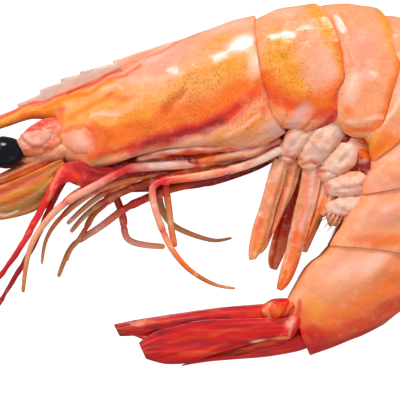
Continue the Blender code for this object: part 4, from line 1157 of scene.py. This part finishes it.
def make_eye_material():
    material, tree, shader = new_surface("wet_black_eye")
    place = add_node(tree, "TexCoord").outputs["Object"]
    tint = add_node(tree, "Attribute", attribute_name="tint").outputs["Color"]
    # The faint bluish patches in the eye's black are a painted blue sheen
    clouds = place_group(tree, "mottle", Color=tint, Vector=place, Scale=700.0, Light=0.06, Deep=0.4,
                         Light_Color=(0.05, 0.08, 0.16), Deep_Color=(0.001, 0.001, 0.002))
    tree.links.new(clouds.outputs["Color"], shader.inputs["Base Color"])
    add_wet_relief(tree, shader, place, 5200.0, 0.14, 0.08, 0.05)
    shader.inputs["Coat Weight"].default_value = 0.05
    shader.inputs["Coat Roughness"].default_value = 0.05
    shader.inputs["Specular IOR Level"].default_value = 0.14
    return material


SKINS = {
    "carapace_shell": dict(dots=(3100.0, 0.56, 0.8), mottle=(420.0, 0.12, 0.25), pale=(1.0, 0.66, 0.34)),
    "abdomen_shell": dict(dots=(3100.0, 0.54, 0.8), mottle=(520.0, 0.1, 0.22)),
    "tail_shell": dict(mottle=(420.0, 0.28, 0.8), stretch=(0.2, 1.7, 1.7), turn=8, deep=(0.3, 0.006, 0.01),
                       pale=(0.86, 0.16, 0.03), subsurface=0.05, coat=0.1, relief=(700.0, 0.35)),
    "underside": dict(mottle=(700.0, 0.25, 0.3), deep=(0.6, 0.05, 0.04), roughness=0.44, coat=0.12),
    "limb": dict(mottle=(620.0, 0.35, 0.35), deep=(0.62, 0.05, 0.03), subsurface=0.2),
    "swimmeret": dict(mottle=(600.0, 0.3, 0.3), dots=(2700.0, 0.4, 2.0), subsurface=0.2, roughness=0.46,
                      coat=0.12, relief=(1500.0, 0.9)),
    "antennal_scale": dict(mottle=(420.0, 0.15, 0.3), stretch=(0.4, 1.5, 1.5), turn=-28,
                           deep=(0.42, 0.1, 0.02)),
    "feeler": dict(mottle=(600.0, 0.12, 0.35), deep=(0.5, 0.02, 0.02), roughness=0.5, coat=0.06),
    "soft_shell": dict(mottle=(600.0, 0.15, 0.3), relief=(700.0, 0.35), roughness=0.44, coat=0.1),
}
MATERIALS = {name: make_skin(name, **look) for name, look in SKINS.items()}
MATERIALS["eye"] = make_eye_material()


def build_carapace():
    shell = take_solid("carapace_shell", "carapace")
    make_quads()
    round_rims(SHELL_RIM)
    smooth(shell, 3)
    piece = join([shell, sweep("brow", raised(BROW, 1), count=26, sides=20, levels=2)])
    merge(piece, 0.2, 5)
    uneven(piece, *SHELL_SWELLINGS)
    press(piece, CARAPACE_RELIEF)
    behind_cheek = (vertex_places(piece)[:, 0] - at((DOTS_START, 0))[0]) / (DOTS_RAMP * PIXEL)
    paint(piece, "peach", CARAPACE_PAINT, np.clip(behind_cheek, 0.2, 1))
    dress(piece, ["carapace"], MATERIALS["carapace_shell"])


def build_abdomen():
    ahead = "carapace"
    for number, (node, patches) in enumerate(ABDOMEN_PAINT.items()):
        piece = take_solid(f"{node}_shell", node)
        fit_segment(piece, ahead, SEGMENT_REACH, SEGMENT_NARROWING, SHELL_RIM)
        smooth(piece, 2)
        nudge(piece, ABDOMEN_SHIFTS.get(node, ()))
        press(piece, ABDOMEN_RELIEF[node])
        uneven(piece, *SHELL_SWELLINGS)
        paint(piece, "peach", patches, SEGMENT_DOTS[number])
        dress(piece, [node], MATERIALS["abdomen_shell"])
        ahead = node


def smooth_route(points, count):
    """Rows at even steps along a smooth curve through the given rows, whose first two columns are a place."""
    rows = np.array(points, dtype=float)
    padded = np.vstack((2 * rows[0] - rows[1], rows, 2 * rows[-1] - rows[-2]))
    fine = []
    for p0, p1, p2, p3 in zip(padded, padded[1:], padded[2:], padded[3:]):
        for f in np.linspace(0, 1, ROUTE_STEPS, endpoint=False):
            fine.append(0.5 * (2 * p1 + (p2 - p0) * f + (2 * p0 - 5 * p1 + 4 * p2 - p3) * f**2
                               + (3 * p1 - p0 - 3 * p2 + p3) * f**3))
    fine.append(rows[-1])
    fine = np.array(fine)
    lengths = np.concatenate(((0,), np.cumsum(np.linalg.norm(np.diff(fine[:, :2], axis=0), axis=1))))
    steps = np.linspace(0, lengths[-1], count)
    return np.column_stack([np.interp(steps, lengths, column) for column in fine.T])


def draw_out(name, rings):
    """A closed body, drawn out from a flat round face ring by ring."""
    bpy.ops.object.select_all(action="DESELECT")
    bpy.ops.mesh.primitive_circle_add(vertices=len(rings[0]), radius=MM, fill_type="NGON")
    piece = bpy.context.object
    piece.name = name
    bpy.ops.object.mode_set(mode="EDIT")
    mesh = bmesh.from_edit_mesh(piece.data)
    order = {point: number for number, point in enumerate(mesh.verts)}
    for step, ring in enumerate(rings):
        if step:
            bpy.ops.mesh.extrude_region_move()
            mesh = bmesh.from_edit_mesh(piece.data)
            moved = {}
            for point in (point for point in mesh.verts if point.select):
                older = next(edge.other_vert(point) for edge in point.link_edges
                             if not edge.other_vert(point).select)
                moved[point] = last[tuple(older.co)]
            order = moved
        for point, number in order.items():
            point.co = Vector(ring[number])
        last = {tuple(point.co): number for point, number in order.items()}
        bmesh.update_edit_mesh(piece.data)
    bpy.ops.mesh.select_all(action="SELECT")
    bpy.ops.mesh.normals_make_consistent(inside=False)
    bpy.ops.object.mode_set(mode="OBJECT")
    return piece


def sweep(name, stations, count=14, sides=14, squareness=2.0, levels=1):
    """A round-ended fleshy body. Stations are a pixel, a height in millimetres, half the width in pixels
    and half the depth in millimetres."""
    rows = smooth_route(stations, count)
    places = np.array([at(row[:2]) for row in rows])
    ahead = np.gradient(places, axis=0)
    ahead /= np.linalg.norm(ahead, axis=1)[:, None]
    angles = np.arange(sides) / sides * 2 * np.pi
    across = np.sign(np.cos(angles)) * np.abs(np.cos(angles)) ** (2 / squareness)
    upward = np.sign(np.sin(angles)) * np.abs(np.sin(angles)) ** (2 / squareness)
    rings = []
    for number, (row, place, way) in enumerate(zip(rows, places, ahead)):
        for reach, share in (END_CAP if number == 0 else ((0.0, 1.0),)):
            rings.append(sweep_ring(row, place - way * reach * row[3] * PIXEL, way, share, across, upward))
        if number == count - 1:
            for reach, share in END_CAP[::-1]:
                beyond = place + way * reach * row[3] * PIXEL
                rings.append(sweep_ring(row, beyond, way, share, across, upward))
    piece = draw_out(name, rings)
    smooth(piece, levels)
    return piece


def sweep_ring(row, place, way, share, across, upward):
    side = np.array((-way[1], way[0]))
    flat = place + np.outer(across * row[3] * PIXEL * share, side)
    heights = row[2] * MM + upward * row[4] * MM * share
    return np.column_stack((flat, heights))


def blade(name, upper, lower, height, camber, ribs, rib_depth, thickness, count):
    """A thin ribbed blade between two edges given in pixels from root to tip. Its height, camber, ribs'
    depth and thickness are in millimetres."""
    bpy.ops.object.select_all(action="DESELECT")
    bpy.ops.mesh.primitive_grid_add(x_subdivisions=count[0], y_subdivisions=count[1], size=1.0)
    piece = bpy.context.object
    piece.name = name
    places = vertex_places(piece)
    along, across = places[:, 0] + 0.5, places[:, 1] + 0.5
    steps = np.linspace(0, 1, ROUTE_STEPS * 4)
    edges = []
    for edge in (upper, lower):
        row = smooth_route(edge, len(steps))
        edges.append(np.column_stack([np.interp(along, steps, column) for column in row.T]))
    pixels = edges[0] * (1 - across)[:, None] + edges[1] * across[:, None]
    flat = np.array([at(pixel) for pixel in pixels])
    bulge = 1 - (2 * across - 1) ** 2
    wrinkle = np.sin(across * ribs * 2 * np.pi + 0.8 * np.sin(along * 5))
    level = height + camber * bulge + rib_depth * wrinkle * np.clip(6 * bulge, 0, 1)
    piece.data.vertices.foreach_set("co", np.column_stack((flat, level * MM)).ravel())
    piece.data.update()
    wall = piece.modifiers.new("wall", "SOLIDIFY")
    wall.thickness = thickness * MM
    wall.offset = 0.0
    bpy.ops.object.modifier_apply(modifier=wall.name)
    bpy.ops.object.mode_set(mode="EDIT")
    bpy.ops.mesh.select_all(action="SELECT")
    bpy.ops.mesh.normals_make_consistent(inside=False)
    bpy.ops.object.mode_set(mode="OBJECT")
    smooth(piece, 1)
    return piece


def join(pieces):
    """One piece from several, named as the first."""
    bpy.ops.object.select_all(action="DESELECT")
    for piece in pieces:
        piece.select_set(True)
    bpy.context.view_layer.objects.active = pieces[0]
    bpy.ops.object.join()
    return pieces[0]


def from_middle(side, offset):
    """Height in millimetres of something that lies an offset to the left (1) or right (-1) of the middle."""
    return MID_HEIGHT / MM + side * offset


def build_tail():
    for side, name in SIDES:
        for part, (edges, offset, ribs) in TAIL_BLADES[name].items():
            piece = blade(f"tail_fan_{part}_{name}_shell", *edges, from_middle(side, offset),
                          camber=side * 0.35, ribs=ribs, rib_depth=0.035, thickness=0.4, count=(30, 26))
            paint(piece, "red", TAIL_PAINT)
            dress(piece, [f"tail_fan_{part}_{name}"], MATERIALS["tail_shell"])
        base = sweep(f"tail_joint_{name}_shell", raised(TAIL_JOINT, side), levels=2)
        pad = sweep("tail_pad", raised(TAIL_PAD, side), count=8, levels=2)
        web = sweep("tail_web", raised(TAIL_WEB, side), count=8, levels=2)
        piece = join([base, pad, web])
        merge(piece, 0.12, 6)
        press(piece, TAIL_JOINT_RELIEF)
        paint(piece, "scarlet", TAIL_PAINT)
        dress(piece, [f"tail_joint_{name}"], MATERIALS["soft_shell"])
    piece = sweep("telson_shell", raised(TELSON, 1), count=20, levels=2, squareness=2.6)
    press(piece, TELSON_RELIEF)
    paint(piece, "scarlet", TELSON_PAINT)
    dress(piece, ["telson"], MATERIALS["tail_shell"])


def raised(stations, side):
    """Stations whose third value is an offset from the middle plane, as heights on one side."""
    return [(x, y, from_middle(side, offset), half, depth) for x, y, offset, half, depth in stations]


def build_swimmerets():
    for side, name in SIDES:
        for number, (base, blades) in enumerate(SWIMMERETS[name], 1):
            parts = [sweep(f"swimmeret_{number}_{name}_skin", raised(base, side), squareness=2.7, levels=2)]
            for upper, lower, offset in blades:
                parts.append(blade("blade", upper, lower, from_middle(side, offset), camber=side * 0.55,
                                   ribs=2, rib_depth=0.14, thickness=0.5, count=(26, 18)))
            uneven(parts[0], 0.1, 1.7)
            for *places, height in BRISTLES.get((number, name), ()):
                stations = [(*place, height, *widths) for place, widths in zip(places, BRISTLE_WIDTHS)]
                parts.append(sweep("bristle", stations, count=5, sides=6))
            piece = join(parts)
            press(piece, SWIMMERET_RELIEF)
            flat = vertex_places(piece)[:, :2]
            on_base = np.max([shape_weight(flat, kind, *shape)
                              for kind, _, _, *shape in PALE_BASES[:BASE_PATCHES]], axis=0)
            paint(piece, "peach", SWIMMERET_PAINT[name], 0.1 + 0.9 * on_base)
            dress(piece, [f"swimmeret_{number}_{name}"], MATERIALS["swimmeret"])


def build_head():
    for side, name in SIDES:
        piece = take_solid(f"eye_{name}_skin", f"eye_{name}")
        merge(piece, 0.12, 40)
        paint(piece, "ink", ())
        dress(piece, [f"eye_{name}"], MATERIALS["eye"])
        piece = sweep(f"eyestalk_{name}_skin", raised(EYESTALK, side), levels=2)
        uneven(piece, 0.08, 2.8)
        press(piece, EYESTALK_RELIEF)
        paint(piece, "blush", HEAD_PAINT)
        dress(piece, [f"eyestalk_{name}"], MATERIALS["underside"])
        scale = blade(f"antennal_scale_{name}_skin", *SCALE_EDGES, from_middle(side, 3.2), camber=side * 0.3,
                      ribs=3, rib_depth=0.1, thickness=0.4, count=(34, 22))
        paint(scale, "ochre", HEAD_PAINT)
        dress(scale, [f"antennal_scale_{name}"], MATERIALS["antennal_scale"])
        stem = sweep(f"antennule_{name}_skin", raised(ANTENNULE, side), count=22, levels=2)
        whips = [sweep("whip", raised(whip, side), count=12, sides=8) for whip in ANTENNULE_WHIPS]
        piece = join([stem] + whips)
        press(piece, ANTENNULE_RELIEF)
        paint(piece, "orange", HEAD_PAINT)
        dress(piece, [f"antennule_{name}"], MATERIALS["feeler"])
        piece = sweep(f"antenna_{name}_skin", raised(ANTENNAE[name], side), count=46, sides=16,
                      squareness=3.0)
        uneven(piece, 0.06, 2.0)
        press(piece, ANTENNA_RELIEF)
        paint(piece, "scarlet", ANTENNA_PAINT)
        dress(piece, [f"antenna_{name}"], MATERIALS["feeler"])
    belly = join([sweep("abdomen_belly", BELLY, count=16, sides=18, levels=2),
                  sweep("fold", BELLY_FOLD, count=12, sides=16, levels=2)])
    paint(belly, "crimson", BELLY_PAINT)
    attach(belly, "root")
    belly.data.materials.append(MATERIALS["underside"])
    roots = [sweep("root", stations, count=12, sides=10, levels=2) for stations in LEG_ROOTS]
    piece = join([sweep("mouth_parts", MOUTH, count=18, sides=18, levels=2),
                  sweep("face", FACE, count=12, sides=18, levels=2)] + roots)
    uneven(piece, 0.12, 2.5)
    paint(piece, "crimson", MOUTH_PAINT)
    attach(piece, "root")
    piece.data.materials.append(MATERIALS["underside"])
    piece = take_solid("sternum_skin", "sternum")
    make_quads()
    smooth(piece, 2)
    paint(piece, "crimson", ())
    dress(piece, ["sternum"], MATERIALS["underside"])


def limb_shares(flat, route):
    """For each place, the share of the route at its nearest point, and that point."""
    line = np.array([at(pixel) for pixel in smooth_route(route, LIMB_STEPS)])
    nearest = np.array([np.argmin(((line - place) ** 2).sum(axis=1)) for place in flat])
    return nearest / (LIMB_STEPS - 1), line[nearest]


def build_limbs():
    """Walking limbs: each is a chain of stretches that swell towards their far end and pinch at the joint."""
    for side, name in SIDES:
        for limb, (route, offsets, joints, colours) in LIMBS[name].items():
            piece = take_solid(f"{limb}_{name}_skin", f"{limb}_{name}")
            make_quads()
            smooth(piece, 2)
            places = vertex_places(piece)
            share, centre = limb_shares(places[:, :2], route)
            spots = limb_shares(np.array([at(joint) for joint in joints]), route)[0]
            length = np.linalg.norm(np.diff([at(pixel) for pixel in route], axis=0), axis=1).sum()
            gaps = np.array([(share - spot) * length / MM for spot in spots])
            swell = LIMB_SWELL * np.exp(-(gaps + SWELL_PLACE) ** 2 / SWELL_SOFTNESS).sum(axis=0)
            swell -= LIMB_PINCH * np.exp(-(gaps / PINCH_REACH) ** 2).sum(axis=0)
            scale = (LIMB_GROWTH + swell)[:, None]
            places[:, :2] = centre + (places[:, :2] - centre) * scale
            level = from_middle(side, offsets[0] + (offsets[1] - offsets[0]) * share) * MM
            places[:, 2] = level + (places[:, 2] - level) * scale[:, 0]
            set_places(piece, places)
            shades = np.array([linear(colour) for colour in colours])
            stops = np.linspace(0, 1, len(colours))
            colour = np.column_stack([np.interp(share, stops, channel) for channel in shades.T])
            redness = JOINT_RED * np.exp(-(np.abs(gaps).min(axis=0) / JOINT_RED_REACH) ** 2)[:, None]
            colour = colour * (1 - redness) + linear("scarlet") * redness
            set_tint(piece, overlay(colour, waver(places[:, :2], LIMB_WAVER), LIMB_PAINT[name]))
            dress(piece, [f"{limb}_{name}"], MATERIALS["limb"])


# Lights of the studio: place and size in metres, and power
LIGHTS = {
    "window": ((-0.05, 0.46, 0.3), (0.17, 0.12), 1.75),
    "overhead": ((-0.32, 0.3, 0.55), (0.35, 0.35), 1.3),
    "low_fill": ((0.3, -0.35, 0.3), (0.3, 0.3), 0.15),
}
LIGHT_AIM = (0.0, 0.0, 0.007)
CAMERA_DISTANCE = 0.5


def add_light(name, place, size, energy):
    data = bpy.data.lights.new(name, "AREA")
    data.shape = "ELLIPSE"
    data.size, data.size_y = size
    data.energy = energy
    light = bpy.data.objects.new(name, data)
    light.location = place
    light.rotation_euler = (Vector(LIGHT_AIM) - Vector(place)).to_track_quat("-Z", "Y").to_euler()
    light.visible_camera = False
    bpy.context.scene.collection.objects.link(light)


def build_studio():
    scene = bpy.context.scene
    scene.view_settings.view_transform = "Standard"
    world = bpy.data.worlds.new("pale_room")
    world.use_nodes = True
    world.node_tree.nodes["Background"].inputs["Color"].default_value = (1.0, 1.0, 1.0, 1.0)
    world.node_tree.nodes["Background"].inputs["Strength"].default_value = 0.72
    scene.world = world

    bpy.ops.mesh.primitive_plane_add(size=3.0, location=(0.0, 0.0, -0.02 * MM))
    floor = bpy.context.object
    floor.name = "pale_floor"
    surface, tree, shader = new_surface("pale_floor")
    shader.inputs["Base Color"].default_value = (0.3, 0.3, 0.3, 1.0)
    shader.inputs["Roughness"].default_value = 0.9
    shader.inputs["Emission Color"].default_value = (1.0, 1.0, 1.0, 1.0)
    seen = add_node(tree, "LightPath").outputs["Is Camera Ray"]
    tree.links.new(seen, shader.inputs["Emission Strength"])
    floor.data.materials.append(surface)

    for name, (place, size, energy) in LIGHTS.items():
        add_light(name, place, size, energy)

    camera = bpy.data.cameras.new("camera")
    camera.sensor_width = 36.0
    camera.lens = camera.sensor_width * CAMERA_DISTANCE / (PHOTO_WIDTH * PIXEL)
    holder = bpy.data.objects.new("camera", camera)
    holder.location = (*MIDDLE, MID_HEIGHT + CAMERA_DISTANCE)
    scene.collection.objects.link(holder)
    scene.camera = holder


build_carapace()
build_abdomen()
build_tail()
build_swimmerets()
build_head()
build_limbs()
build_studio()
